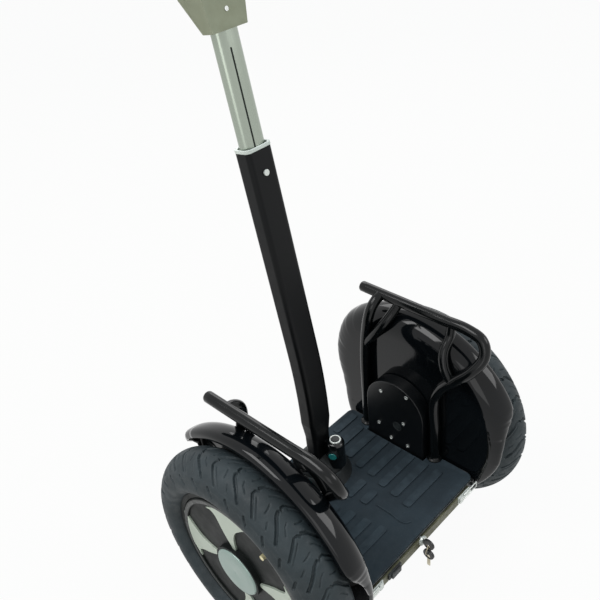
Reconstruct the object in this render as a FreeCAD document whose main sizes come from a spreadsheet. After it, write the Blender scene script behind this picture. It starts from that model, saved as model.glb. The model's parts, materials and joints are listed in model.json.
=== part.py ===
"""Self-balancing scooter: two hub-motor wheels, a standing deck between them and a steering pole.

Frame: +X is the rider's right, +Y forward, +Z up. The origin is on the floor, under the middle of
the bounding box. Sizes are in millimetres and angles in degrees. Places are written from the wheel
axle (y) and the floor (z), and every piece is moved together by axle_y.
"""
import FreeCAD, Part
import math
import os
import Sketcher

Vec = FreeCAD.Vector
os.makedirs("parts", exist_ok=True)
doc = FreeCAD.newDocument("self_balancing_scooter")

# The driving dimensions, in groups, each written once
SIZES = {
    # Wheels
    "tyre_r": 215, "tyre_out": 79, "tyre_half": 44, "tyre_wall": 8, "tyre_deep": 63, "bead_half": 29,
    "sidewall_r": 34, "rim_gap": 0.3, "rim_wall": 9, "rim_lip": 4, "face_out": 27, "face_wall": 7,
    "step_down": 11, "step_in_down": 21, "step_rise": 3,
    "trim_down": 24, "trim_apex_up": 5, "trim_side_r": 110, "trim_thick": 4,
    "trim_half_angle": 27, "trim_turn_angle": 6, "hub_r": 50, "hub_rise": 9, "cap_r": 46, "cap_thick": 4,
    "cap_edge": 1.5, "bearing_r": 21, "bearing_wide": 8, "axle_radius": 10, "running_gap": 0.05,
    "nut_r": 15, "nut_high": 9, "cover_wall": 4, "cover_boss_r": 30, "stator_wide": 30,
    "stator_hub_r": 26, "stator_web": 8, "stator_rim": 24, "magnet_gap": 0.8, "magnet_wall": 5,
    "valve_r": 3.5, "valve_cap_r": 4.5, "valve_long": 11, "valve_cap": 7,
    # Fenders
    "fender_gap": 2, "fender_wall": 4, "fender_wide": 50, "crown_over": 9, "crown_y": 5, "crown_rise": 4,
    "crown_wall": 4, "crown_corner": 16, "crown_front_angle": 43, "crown_rear_angle": 64, "lip_drop": 8,
    "lip_edge": 4, "ridge_in": 41, "wall_bottom_z": 134,
    # Side cases
    "case_deep": 27.7, "case_front_y": 74, "case_rear_y": 62, "case_low_z": 84,
    "case_shoulder": 37, "case_wall": 5, "case_boss_r": 30,
    "screw_r": 4, "screw_high": 2.2, "screw_socket_r": 1.8, "screw_socket": 1.2,
    # Deck
    "deck_top_z": 165, "mat_thick": 3.5, "pad_high": 2.5, "deck_plate": 6, "deck_half": 170,
    "mat_margin": 1.5,
    "deck_front_y": 144, "deck_rear_y": 162, "deck_corner": 12, "case_gap": 1.5, "leg_hole_gap": 1.2,
    "pad_pitch": 32.6, "pad_gap": 16.1, "pad_out": 13, "pad_waist": 5,
    "pad_first_y": 16.9, "pad_corner": 5,
    # Chassis and drawer
    "frame_shelf": 4, "drawer_high": 22, "drawer_gap": 0.5, "frame_wall": 6,
    "belly_low_z": 80, "belly_rear_y": 95, "belly_front_y": 134, "belly_wall": 4, "belly_in": 7.7,
    "drawer_wall": 2, "drawer_front_y": 116, "panel_thick": 5, "panel_in": 20, "panel_low_z": 133,
    "panel_face_y": 165, "battery_rear_y": 96, "battery_front_y": 108, "battery_in": 17.2,
    "battery_gap": 0.4,
    "board_long": 90, "board_wide": 110, "board_high": 24, "board_x": 64, "board_front_y": 124,
    "frame_block": 18,
    # Latches, lock, keys and charging port
    "latch_z": 146, "latch_in": 38, "latch_plate": 1.7, "latch_long": 36, "latch_high": 17,
    "lever_thick": 3, "lever_gap": 0.3, "lever_pin_r": 1.5, "bail_r": 1.3, "bail_in": 12, "bail_half": 6,
    "bail_end": 20, "keeper_out": 13, "keeper_r": 3, "keeper_long": 8.5, "lever_knuckle_r": 2.6,
    "lock_r": 9, "lock_core_r": 6, "lock_proud": 4, "lock_core_gap": 0.06, "key_thick": 2, "key_bow_r": 9,
    "key_neck": 11, "key_hole_r": 3.2, "ring_r": 9, "ring_wire": 0.9, "spare_gap": 0.35, "key_blade": 22,
    "key_blade_wide": 6,
    "port_in": 69, "port_long": 34, "port_high": 13, "port_deep": 4, "port_cap": 3.5, "port_end": 5,
    "port_well_r": 4.75, "port_floor": 1.25,
    # Rails
    "rail_r": 8, "rail_over": 34, "rail_out": 25, "rail_leg_in": 7.5, "rail_rear_y": 157,
    "rail_front_y": 128, "rail_bend": 34, "rail_leg_rear_y": 77, "rail_leg_front_y": 90,
    "rail_knee_drop": 142,
    "rail_cross_drop": 64, "rail_cross_in": 3, "rail_cross_rear_y": 141, "rail_cross_front_drop": 51,
    "rail_elbow_rear_y": 111, "rail_elbow_drop": 99, "rail_elbow_front_y": 122, "rail_elbow_front_drop": 83,
    "rail_drop": 41, "brace_r": 6, "brace_rear_y": 85, "brace_front_y": 28, "brace_high_drop": 25,
    "brace_low_drop": 53, "brace_in": 8, "brace_front_bow_y": 52, "brace_front_low_y": 82,
    "brace_front_drop": 19, "brace_bend": 16, "rail_foot_r": 9.2,
    "rail_foot": 4, "rail_small_bend": 22, "rail_wall": 2,
    # Pole
    "pole_y": 76.5, "lean_z": 172, "pole_bend_low_z": 300, "pole_bend_r": 1040, "pole_lean_angle": 8.8,
    "pole_low_x": 21, "pole_low_y": 15, "pole_top_x": 25.5, "pole_top_y": 17, "pole_corner": 8,
    "pole_wall": 3.5, "pole_neck": 62, "pole_root_z": 200, "pole_straight": 370,
    "pole_bore_gap": 0.35, "pole_bore_long": 340,
    "collar_high": 6, "collar_over": 0.8, "inner_x": 22.5, "inner_y": 14, "inner_corner": 9,
    "inner_below": 150, "inner_out": 177, "inner_wall": 2.2, "slot_x": 3.5, "slot_wide": 3,
    "slot_deep": 1.2, "slot_top": 16, "bolt_below": 37, "bolt_r": 5, "bolt_high": 3, "bolt_shank_r": 2.6,
    "dome_r": 46, "dome_wall": 5, "boot_wall": 4, "boot_gap": 1.2, "boot_high": 14, "boot_flare": 9,
    "hub_half_x": 16, "hub_half_y": 15.5, "hub_drop": 9, "shaft_r": 6, "bracket_wall": 9,
    "bracket_half": 13, "bracket_over": 9, "bracket_gap": 1.5,
    "console_x": 12, "console_y": 42, "console_r": 17, "console_low_z": 196, "console_top_z": 256,
    "console_edge": 6, "button_ring_r": 11, "button_ring_in_r": 8.2, "button_ring_high": 3,
    "button_gap": 0.3,
    "button_proud": 2.2, "lens_r": 7.5, "lens_z": 235, "lens_flat": 1.75, "lens_proud": 0.9,
    "lens_turn_angle": 64, "bezel_r": 10.5, "bezel_deep": 8,
    # Head and handlebar
    "head_low_half": 33, "head_low_back": 16.5, "head_low_side": 6, "head_low_nose": 15,
    "head_low_front": 22,
    "head_half": 40, "head_back": 18, "head_side": 34, "head_nose": 26, "head_front": 45,
    "head_top_half": 35, "head_top_side": 25, "head_top_nose": 24, "head_top_front": 34,
    "head_high": 184, "head_flare": 50, "head_shoulder": 142, "head_seam": 0.3, "head_slope": 24,
    "head_socket": 60,
    "head_screw_low": 27, "head_screw_pitch": 23, "head_screw_r": 3.5, "head_screw_high": 1.2,
    "head_screw_seat": 0.12,
    "bar_r": 11, "bar_along": 132, "bar_forward": 18, "bar_half": 240, "grip_r": 16.5, "grip_long": 125,
    "grip_flange_r": 20, "grip_flange": 5, "plug_long": 4, "plug_r": 15, "display_half": 27,
    "display_thick": 2.5,
    # Kickstand
    "stand_y": 104, "stand_drop": 9, "stand_half": 74, "stand_r": 6, "stand_foot_y": 138, "stand_foot_r": 9,
    "stand_foot_high": 14, "stand_foot_floor": 5, "stand_lug": 9, "stand_lug_wall": 7, "stand_lug_x": 44,
    "stand_bend": 20,
    # Clearances and overruns shared by all
    "seat_gap": 0.3, "overrun": 10,
}

sheet = doc.addObject("Spreadsheet::Sheet", "Dims")
for row, (alias, number) in enumerate(SIZES.items(), start=1):
    sheet.set("A%d" % row, alias.replace("_", " "))
    sheet.set("B%d" % row, str(number))
    sheet.setAlias("B%d" % row, alias)
doc.recompute()


class Size:
    """A length or angle: its value now, and the sheet expression that keeps a piece bound to it."""

    def __init__(self, value, text):
        self.value = float(value)
        self.text = text

    def __add__(self, other):
        other = as_size(other)
        return Size(self.value + other.value, "(%s + %s)" % (self.text, other.text))

    def __sub__(self, other):
        other = as_size(other)
        return Size(self.value - other.value, "(%s - %s)" % (self.text, other.text))

    def __mul__(self, other):
        other = as_size(other)
        return Size(self.value * other.value, "(%s * %s)" % (self.text, other.text))

    def __truediv__(self, other):
        other = as_size(other)
        return Size(self.value / other.value, "(%s / %s)" % (self.text, other.text))

    def __neg__(self):
        return self * -1

    def __radd__(self, other):
        return as_size(other) + self

    def __rsub__(self, other):
        return as_size(other) - self

    def __rmul__(self, other):
        return self * other


def as_size(number):
    return number if isinstance(number, Size) else Size(number, "(%s)" % repr(float(number)))


def cos(angle):
    return Size(math.cos(math.radians(angle.value)), "cos(%s)" % angle.text)


def sin(angle):
    return Size(math.sin(math.radians(angle.value)), "sin(%s)" % angle.text)


def root(size):
    return Size(math.sqrt(size.value), "sqrt(%s)" % size.text)


class Sheet:
    """The sheet's aliases as sizes."""

    def __getattr__(self, alias):
        return Size(sheet.get(alias), "Dims.%s" % alias)


D = Sheet()

# Widths follow the deck's half width, the wheel's parts follow the tyre, and the rails clear the fender
FENDER_IN_X = D.deck_half + D.fender_gap
FENDER_OUT_X = FENDER_IN_X + D.fender_wide
RIDGE_X = FENDER_IN_X + D.ridge_in
TYRE_X = D.deck_half + D.tyre_out
FACE_X = TYRE_X + D.face_out
CASE_OUT_X = FENDER_IN_X - D.seat_gap
CASE_IN_X = CASE_OUT_X - D.case_deep
FRAME_HALF = CASE_IN_X - D.seat_gap
BELLY_HALF = FRAME_HALF - D.belly_in
BATTERY_HALF = FRAME_HALF - D.frame_wall - D.drawer_gap - D.battery_in
PANEL_HALF = D.deck_half - D.panel_in
LATCH_IN_X = PANEL_HALF - D.latch_in
BAIL_END_X = PANEL_HALF + D.bail_end
KEEPER_X = PANEL_HALF + D.keeper_out
PORT_X = PANEL_HALF - D.port_in
PAD_OUT_X = D.deck_half - D.pad_out
PAD_WAIST_X = CASE_IN_X - D.pad_waist
RAIL_TOP_X = D.deck_half + D.rail_out
RAIL_LEG_X = D.deck_half - D.rail_leg_in
BEAD_R = D.tyre_r - D.tyre_deep
STEP_R = BEAD_R - D.step_down
STEP_IN_R = BEAD_R - D.step_in_down
TRIM_R = BEAD_R - D.trim_down
TRIM_APEX_R = D.hub_r + D.trim_apex_up
CROWN_R = D.tyre_r + D.crown_over
RAIL_TOP_Z = D.tyre_r + D.crown_rise + CROWN_R + D.rail_over
CASE_SHOULDER_Z = D.tyre_r + D.case_shoulder
RIGHT_ANGLE = 90
FULL_TURN = 360
NODES = {}
SHARED = {}


def bind(thing, name, size):
    """Ties one property of an object to the sheet."""
    thing.setExpression(name, as_size(size).text)


def placed(thing, place, turn=None):
    """Puts an object at a place given from the axle and the floor."""
    base = Vec(*(as_size(v).value for v in place))
    thing.Placement = FreeCAD.Placement(base, turn or FreeCAD.Rotation())
    bind(thing, "Placement.Base.x", place[0])
    bind(thing, "Placement.Base.y", place[1] + AXLE_Y)
    bind(thing, "Placement.Base.z", place[2])
    return thing


def add(kind, label):
    thing = doc.addObject(kind, label)
    thing.Label = label
    return thing


def box(label, low, high):
    """A block between two corners."""
    thing = add("Part::Box", label)
    corner = []
    for name, a, b in zip(("Length", "Width", "Height"), low, high):
        a, b = sorted((as_size(a), as_size(b)), key=lambda size: size.value)
        bind(thing, name, b - a)
        corner.append(a)
    return placed(thing, corner)


TURNS = {
    "x": FreeCAD.Rotation(Vec(0, 1, 0), RIGHT_ANGLE),
    "y": FreeCAD.Rotation(Vec(1, 0, 0), -RIGHT_ANGLE),
    "z": FreeCAD.Rotation(),
    "-x": FreeCAD.Rotation(Vec(0, 1, 0), -RIGHT_ANGLE),
    "-y": FreeCAD.Rotation(Vec(1, 0, 0), RIGHT_ANGLE),
}


def rod(label, radius, place, length, way="z"):
    """A cylinder from a place along one of the axes."""
    thing = add("Part::Cylinder", label)
    bind(thing, "Radius", radius)
    bind(thing, "Height", length)
    return placed(thing, place, TURNS[way])


def cut(label, base, *tools):
    """The base less the tools."""
    thing = add("Part::Cut", label)
    thing.Base = base
    thing.Tool = tools[0] if len(tools) == 1 else fuse(label + "_tools", *tools)
    return thing


def group(label, *things):
    """Separate solids kept together as one piece."""
    thing = add("Part::Compound", label)
    thing.Links = list(things)
    return thing


def fuse(label, *things):
    thing = add("Part::MultiFuse", label)
    thing.Shapes = list(things)
    return thing


def tube(label, outer, inner, place, length, way="z"):
    """A sleeve along one of the axes."""
    whole = rod(label + "_out", outer, place, length, way)
    return cut(label, whole, rod(label + "_in", inner, place, length, way))


def node(thing):
    """Keeps a finished piece for export under its label."""
    NODES[thing.Label] = thing
    return thing


def share(label, *things):
    """Sets aside like pieces of one body, to be kept together as separate solids of one node."""
    SHARED.setdefault(label, []).extend(things)


def new_body(label):
    return add("PartDesign::Body", label)


def draw(body, plane, start, outline):
    """A closed outline on one of the body's planes, each corner bound to the sheet.

    A corner is (across, up) or (across, up, radius): a radius makes the edge to the next corner an
    arc, with its centre on the left of the way from corner to corner when it is positive.
    """
    sketch = body.newObject("Sketcher::SketchObject", body.Name + "_sketch")
    support = [item for item in body.Origin.OriginFeatures if item.Role == plane][0]
    sketch.AttachmentSupport = (support, [""])
    sketch.MapMode = "FlatFace"
    bind(sketch, "AttachmentOffset.Base.z", start)
    corners = [Vec(as_size(c[0]).value, as_size(c[1]).value, 0) for c in outline]
    ends = []
    for index, corner in enumerate(outline):
        a = corners[index]
        b = corners[(index + 1) % len(corners)]
        if len(corner) == 3:
            radius = as_size(corner[2]).value
            middle = (a + b) * 0.5
            half = (b - a) * 0.5
            left = Vec(-half.y, half.x, 0).normalize()
            rise = math.sqrt(max(radius ** 2 - half.Length ** 2, 0))
            centre = middle + left * (rise if radius > 0 else -rise)
            first, last = (a, b) if radius > 0 else (b, a)
            begin = math.atan2(first.y - centre.y, first.x - centre.x)
            finish = math.atan2(last.y - centre.y, last.x - centre.x)
            if finish <= begin:
                finish += 2 * math.pi
            circle = Part.Circle(centre, Vec(0, 0, 1), abs(radius))
            sketch.addGeometry(Part.ArcOfCircle(circle, begin, finish), False)
            ends.append((1, 2) if radius > 0 else (2, 1))
        else:
            sketch.addGeometry(Part.LineSegment(a, b), False)
            ends.append((1, 2))
    for index in range(len(outline)):
        following = (index + 1) % len(outline)
        meeting = (index, ends[index][1], following, ends[following][0])
        sketch.addConstraint(Sketcher.Constraint("Coincident", *meeting))
    for index, corner in enumerate(outline):
        for kind, place in (("DistanceX", corner[0]), ("DistanceY", corner[1])):
            constraint = Sketcher.Constraint(kind, index, ends[index][0], as_size(place).value)
            number = sketch.addConstraint(constraint)
            bind(sketch, "Constraints[%d]" % number, place)
        if len(corner) == 3:
            constraint = Sketcher.Constraint("Radius", index, abs(as_size(corner[2]).value))
            number = sketch.addConstraint(constraint)
            positive = corner[2] if as_size(corner[2]).value > 0 else -corner[2]
            bind(sketch, "Constraints[%d]" % number, positive)
    return sketch


PLANES = {"xy": ("XY_Plane", 1), "xz": ("XZ_Plane", -1), "yz": ("YZ_Plane", 1)}
ALONG = {"xy": Vec(0, 0, 1), "xz": Vec(0, 1, 0), "yz": Vec(1, 0, 0)}


PARALLEL_SHARE = 0.999


def side_edges(shape, way, outermost=None):
    """The names of the straight edges that run along a direction, or only of the outermost ones."""
    found = []
    for number, edge in enumerate(shape.Edges, start=1):
        straight = edge.Curve.TypeId == "Part::GeomLine"
        if straight and abs(edge.tangentAt(edge.FirstParameter).dot(way)) > PARALLEL_SHARE:
            reach = (edge.CenterOfMass - shape.BoundBox.Center).Length
            found.append((reach, "Edge%d" % number))
    if outermost:
        found = sorted(found, reverse=True)[:outermost]
    return [name for reach, name in found]


def round_body(body, names, radius, label="round"):
    """A fillet on named edges of a body, its radius bound to the sheet."""
    base = body.Tip
    fillet = body.newObject("PartDesign::Fillet", body.Name + "_" + label)
    fillet.Base = (base, names)
    fillet.Radius = as_size(radius).value
    bind(fillet, "Radius", radius)
    return fillet


def prism(label, plane, start, length, outline, corner=None, outermost=None):
    """An outline pushed along X, Y or Z from a start, with its side edges rounded if asked."""
    body = new_body(label)
    role, sign = PLANES[plane]
    sketch = draw(body, role, as_size(start) * sign, outline)
    pad = body.newObject("PartDesign::Pad", label + "_pad")
    pad.Profile = sketch
    bind(pad, "Length", length)
    pad.Reversed = sign < 0
    placed(body, (0, as_size(0), 0))
    if corner is not None:
        doc.recompute()
        round_body(body, side_edges(pad.Shape, ALONG[plane], outermost), corner)
    return body


def turned(label, outline, place=None, angle=None, start_angle=None):
    """An outline of (x, radius) turned about an X axis, at the wheel axle unless placed."""
    body = new_body(label)
    sketch = draw(body, "XZ_Plane", 0, outline)
    turn = body.newObject("PartDesign::Revolution", label + "_turn")
    turn.Profile = sketch
    turn.ReferenceAxis = (sketch, ["H_Axis"])
    if angle is None:
        turn.Angle = FULL_TURN
    else:
        bind(turn, "Angle", angle)
    rotation = FreeCAD.Rotation(Vec(1, 0, 0), 1 if start_angle is None else as_size(start_angle).value)
    placed(body, place or (0, as_size(0), D.tyre_r), rotation if start_angle is not None else None)
    if start_angle is not None:
        bind(body, "Placement.Rotation.Angle", start_angle)
    return body


def lathe(label, outline, place):
    """An outline of (radius, height) turned about a vertical axis at a place."""
    body = new_body(label)
    sketch = draw(body, "XZ_Plane", 0, outline)
    turn = body.newObject("PartDesign::Revolution", label + "_turn")
    turn.Profile = sketch
    turn.ReferenceAxis = (sketch, ["V_Axis"])
    turn.Angle = FULL_TURN
    placed(body, place)
    return body


def mirrored(outline, side):
    """The outline for one side of the scooter: 1 is the right, -1 the left."""
    flipped = []
    for corner in outline:
        bend = [corner[2] * side] if len(corner) == 3 else []
        flipped.append((corner[0] * side, corner[1], *bend))
    return flipped


def feature(label, shape):
    """A piece whose shape is made here from the sheet's values."""
    thing = add("Part::Feature", label)
    thing.Shape = shape
    return placed(thing, (0, as_size(0), 0))


def point(x, y, z):
    return Vec(*(as_size(v).value for v in (x, y, z)))


def bent_wire(points, bends):
    """Straight runs joined by tangent arcs; bends holds one radius for each inner point."""
    edges = []
    last = points[0]
    for before, here, after, radius in zip(points, points[1:], points[2:], bends):
        into = (here - before).normalize()
        out = (after - here).normalize()
        turn = into.getAngle(out)
        reach = radius * math.tan(turn / 2)
        first = here - into * reach
        final = here + out * reach
        inward = (out - into).normalize()
        middle = here + inward * (radius / math.cos(turn / 2) - radius)
        if (first - last).Length > reach * 1e-6:
            edges.append(Part.LineSegment(last, first).toShape())
        edges.append(Part.Arc(first, middle, final).toShape())
        last = final
    edges.append(Part.LineSegment(last, points[-1]).toShape())
    return Part.Wire(edges)


def bent_tube(points, bends, radius):
    """A round bar along straight runs and arcs."""
    path = bent_wire(points, bends)
    way = (points[1] - points[0]).normalize()
    section = Part.Wire([Part.Circle(points[0], way, radius).toShape()])
    return path.makePipeShell([section], True, False)


def rounded_section(half_x, half_y, corner):
    """A rounded rectangle about the Z axis, at z = 0, as one closed wire."""
    edges = []
    turns = ((1, 1), (-1, 1), (-1, -1), (1, -1))
    places = []
    for across, forward in turns:
        centre = Vec(across * (half_x - corner), forward * (half_y - corner), 0)
        begin = math.radians(RIGHT_ANGLE * turns.index((across, forward)))
        marks = [centre + Vec(math.cos(begin + step), math.sin(begin + step), 0) * corner
                 for step in (0, math.pi / 4, math.pi / 2)]
        places.append(marks)
    for index, marks in enumerate(places):
        edges.append(Part.Arc(*marks).toShape())
        following = places[(index + 1) % len(places)][0]
        if (following - marks[2]).Length > corner * 1e-6:
            edges.append(Part.LineSegment(marks[2], following).toShape())
    return Part.Wire(edges)


# The pole leans forward: how far its bend and its straight part reach
LEAN = D.pole_lean_angle
BEND_Y = D.pole_y + D.pole_bend_r * (1 - cos(LEAN))
BEND_Z = D.pole_bend_low_z + D.pole_bend_r * sin(LEAN)
POLE_TOP = D.pole_straight


def on_pole(across, forward, along):
    """The place that lies along the leaning pole from the end of its bend, and forward of its axis."""
    return (as_size(across), BEND_Y + sin(LEAN) * along + cos(LEAN) * forward,
            BEND_Z + cos(LEAN) * along - sin(LEAN) * forward)


HEAD_LOW = POLE_TOP + D.inner_out
HEAD_TIP = on_pole(0, D.head_front, HEAD_LOW + D.head_shoulder)
AXLE_Y = (D.tyre_r - HEAD_TIP[1]) / 2

SIDES = {"right": 1, "left": -1}


def span(side, low, high):
    """The two x values of a stretch that lies from low to high outward on one side."""
    return low * side, high * side


TRIM_COUNT = 4

# Where the valve sits: shares of the tyre's inner radius, rearward and up from the axle
valve_share = (0.5263, 0.7105)


def wheel(name, side):
    """Tyre, hollow rim drum, polished plates, hub cap, valve and motor of one wheel."""
    x = TYRE_X
    axle_z = D.tyre_r
    crown = D.tyre_r - D.tyre_half
    wall = D.tyre_wall
    air_half = D.tyre_half - wall
    outline = [(x - D.bead_half, BEAD_R), (x - D.bead_half + wall, BEAD_R, wall - D.sidewall_r),
               (x - air_half, crown, -air_half), (x, D.tyre_r - wall, -air_half),
               (x + air_half, crown, wall - D.sidewall_r), (x + D.bead_half - wall, BEAD_R),
               (x + D.bead_half, BEAD_R, D.sidewall_r), (x + D.tyre_half, crown, D.tyre_half),
               (x, D.tyre_r, D.tyre_half), (x - D.tyre_half, crown, D.sidewall_r)]
    node(turned("tyre_" + name, mirrored(outline, side)))

    # The rim is a drum round the motor, with a dished outer disc and a raised hub
    well = BEAD_R - D.rim_gap
    inside = well - D.rim_wall
    low_x = x - D.bead_half + D.rim_gap
    high_x = x + D.bead_half - D.rim_gap
    bore = D.bearing_r
    hub_x = FACE_X + D.hub_rise
    outline = [(low_x, inside), (FACE_X - D.face_wall, inside),
               (FACE_X - D.face_wall, bore), (hub_x, bore), (hub_x, D.hub_r),
               (FACE_X, D.hub_r), (FACE_X, STEP_IN_R), (FACE_X + D.step_rise, STEP_IN_R),
               (FACE_X + D.step_rise, STEP_R), (high_x - D.rim_lip, inside),
               (high_x, inside), (high_x, well), (low_x, well)]
    rim = turned("rim_%s_blank" % name, mirrored(outline, side))
    valve_y = BEAD_R * valve_share[0]
    valve_z = axle_z + BEAD_R * valve_share[1]
    valve_start = FACE_X - D.face_wall
    hole = rod("valve_hole_" + name, D.valve_r + D.seat_gap, (valve_start * side - D.overrun * side,
               -valve_y, valve_z), D.overrun * 2 + D.face_wall + D.step_rise, "x" if side > 0 else "-x")
    node(cut("rim_" + name, rim, hole))
    stem = rod("valve_stem_" + name, D.valve_r, (valve_start * side, -valve_y, valve_z), D.valve_long,
               "x" if side > 0 else "-x")
    cap = rod("valve_cap_" + name, D.valve_cap_r, ((valve_start + D.valve_long) * side, -valve_y, valve_z),
              D.valve_cap, "x" if side > 0 else "-x")
    node(fuse("valve_" + name, stem, cap))

    # Four polished plates with hollowed sides, in a slight pinwheel round the hub
    plates = []
    for quarter in range(TRIM_COUNT):
        middle = FULL_TURN / TRIM_COUNT * quarter + D.trim_turn_angle
        corners = ((middle - D.trim_turn_angle, TRIM_APEX_R), (middle - D.trim_half_angle, TRIM_R),
                   (middle + D.trim_half_angle, TRIM_R))
        places = [(TRIM_APEX_R * cos(corners[0][0]), TRIM_APEX_R * sin(corners[0][0])),
                  (TRIM_R * cos(corners[1][0]), TRIM_R * sin(corners[1][0])),
                  (TRIM_R * cos(corners[2][0]), TRIM_R * sin(corners[2][0]))]
        outline = [(places[0][0], places[0][1], -D.trim_side_r), (places[1][0], places[1][1], TRIM_R),
                   (places[2][0], places[2][1], -D.trim_side_r)]
        plate = prism("trim_%s_%d" % (name, quarter), "yz",
                      FACE_X if side > 0 else -FACE_X - D.trim_thick, D.trim_thick, outline)
        bind(plate, "Placement.Base.z", D.tyre_r)
        plates.append(plate)
    cap_x = hub_x + D.cap_thick
    outline = [(hub_x, as_size(0)), (cap_x, as_size(0)), (cap_x, D.cap_r - D.cap_edge),
               (cap_x - D.cap_edge, D.cap_r), (hub_x, D.cap_r)]
    share("wheel_trim_" + name, *plates, turned("hub_cap_" + name, mirrored(outline, side)))

    # Bearings sit in the hub and in the inner motor cover
    cover_x = low_x - D.cover_wall
    wide = D.bearing_wide
    rings = []
    for label, start in (("outer", FACE_X - D.face_wall), ("inner", cover_x)):
        first, last = span(side, start, start + wide)
        way = "x" if side > 0 else "-x"
        rings.append(tube("bearing_%s_%s" % (label, name), D.bearing_r, D.axle_radius + D.running_gap,
                          (first, as_size(0), axle_z), wide, way))
    share("rotor_core_" + name, *rings)
    outline = [(cover_x, D.bearing_r), (cover_x + wide, D.bearing_r), (cover_x + wide, D.cover_boss_r),
               (cover_x + D.cover_wall, D.cover_boss_r), (low_x, well), (cover_x, well)]
    node(turned("motor_cover_" + name, mirrored(outline, side)))

    # The motor: windings held still on the axle inside a ring of magnets that turns with the rim
    magnet_r = inside - D.rim_gap
    magnet_in = magnet_r - D.magnet_wall
    stator_r = magnet_in - D.magnet_gap
    middle = (low_x + FACE_X - D.face_wall) / 2
    near = middle - D.stator_wide / 2
    far = middle + D.stator_wide / 2
    outline = [(near, magnet_in), (far, magnet_in), (far, inside), (near, inside)]
    share("rotor_core_" + name, turned("magnet_ring_" + name, mirrored(outline, side)))
    web_near = middle - D.stator_web / 2
    web_far = middle + D.stator_web / 2
    rim_r = stator_r - D.stator_rim
    shaft = D.axle_radius + D.running_gap
    outline = [(near, shaft), (far, shaft), (far, D.stator_hub_r), (web_far, D.stator_hub_r),
               (web_far, rim_r), (far, rim_r), (far, stator_r), (near, stator_r), (near, rim_r),
               (web_near, rim_r), (web_near, D.stator_hub_r), (near, D.stator_hub_r)]
    share("stators", turned("stator_" + name, mirrored(outline, side)))

    end_x = hub_x - D.seat_gap
    outline = [(CASE_IN_X, as_size(0)), (end_x, as_size(0)), (end_x, D.axle_radius),
               (CASE_IN_X, D.axle_radius)]
    share("axles", turned("axle_" + name, mirrored(outline, side)))
    nut = tube("axle_nut_" + name, D.nut_r, shaft,
               (CASE_OUT_X * side + D.fender_wall * side + D.seat_gap * side * 2, as_size(0), axle_z),
               D.nut_high, "x" if side > 0 else "-x")
    share("axles", nut)


def crown_point(radius, angle):
    """A place on a circle about the fender's centre, the angle counted up from straight ahead."""
    return (D.crown_y + radius * cos(angle), D.tyre_r + D.crown_rise + radius * sin(angle))


# The corners of the fender's inner wall as shares of the crown's radius, forward and up from its centre
wall_shares = ((0.765, 0.2455), (0.715, 0.585), (-0.951, 0.219), (-0.9375, -0.049))
wall_front_share = 0.638
wall_rear_share = 0.759
wall_bend_share = 0.335


def fender(name, side):
    """A flat inner wall beside the rider's foot, and a crown with a turned-down lip over the tyre."""
    inner = FENDER_IN_X
    wall = D.crown_wall
    top = CROWN_R
    outline = [(inner, top - D.crown_corner, -D.crown_corner), (inner + D.crown_corner, top),
               (RIDGE_X, top), (FENDER_OUT_X, top - D.lip_edge),
               (FENDER_OUT_X, top - D.lip_edge - D.lip_drop),
               (FENDER_OUT_X - wall, top - D.lip_edge - D.lip_drop),
               (FENDER_OUT_X - wall, top - wall), (inner + D.crown_corner, top - wall,
               D.crown_corner - wall), (inner + wall, top - D.crown_corner)]
    front = D.crown_front_angle
    sweep = D.crown_front_angle + D.crown_rear_angle
    crown = turned("fender_crown_" + name, mirrored(outline, side),
                   (as_size(0), D.crown_y, D.tyre_r + D.crown_rise), sweep, -front)
    edge_r = top - D.crown_corner
    tip = crown_point(edge_r, RIGHT_ANGLE - front)
    tail = crown_point(edge_r, RIGHT_ANGLE + D.crown_rear_angle)
    centre_z = D.tyre_r + D.crown_rise
    places = [(D.crown_y + CROWN_R * along, centre_z + CROWN_R * up) for along, up in wall_shares]
    middle, nose, rear, rear_middle = places
    outline = [(D.crown_y + CROWN_R * wall_front_share, D.wall_bottom_z),
               (*middle, CROWN_R * wall_bend_share), nose,
               (tip[0], tip[1], edge_r), (tail[0], tail[1]), rear, rear_middle,
               (D.crown_y - CROWN_R * wall_rear_share, D.wall_bottom_z)]
    start = inner if side > 0 else -inner - D.fender_wall
    plate = prism("fender_wall_" + name, "yz", start, D.fender_wall, outline)
    whole = fuse("fender_whole_" + name, plate, crown)
    hole = rod("fender_hole_" + name, D.axle_radius + D.seat_gap,
               ((inner - D.overrun) * side, as_size(0), D.tyre_r), D.overrun * 2 + D.fender_wall,
               "x" if side > 0 else "-x")
    node(cut("fender_" + name, whole, hole))


def case_outline(inset):
    """The side case seen from the side: straight flanks under a round arch."""
    front = D.case_front_y - inset
    rear = -D.case_rear_y + inset
    arch = (front - rear) / 2
    low = D.case_low_z + inset
    middle = (front + rear) / 2
    shoulder = CASE_SHOULDER_Z
    return [(front, low), (front, shoulder, arch), (middle, shoulder + arch, arch), (rear, shoulder),
            (rear, low)]


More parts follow.
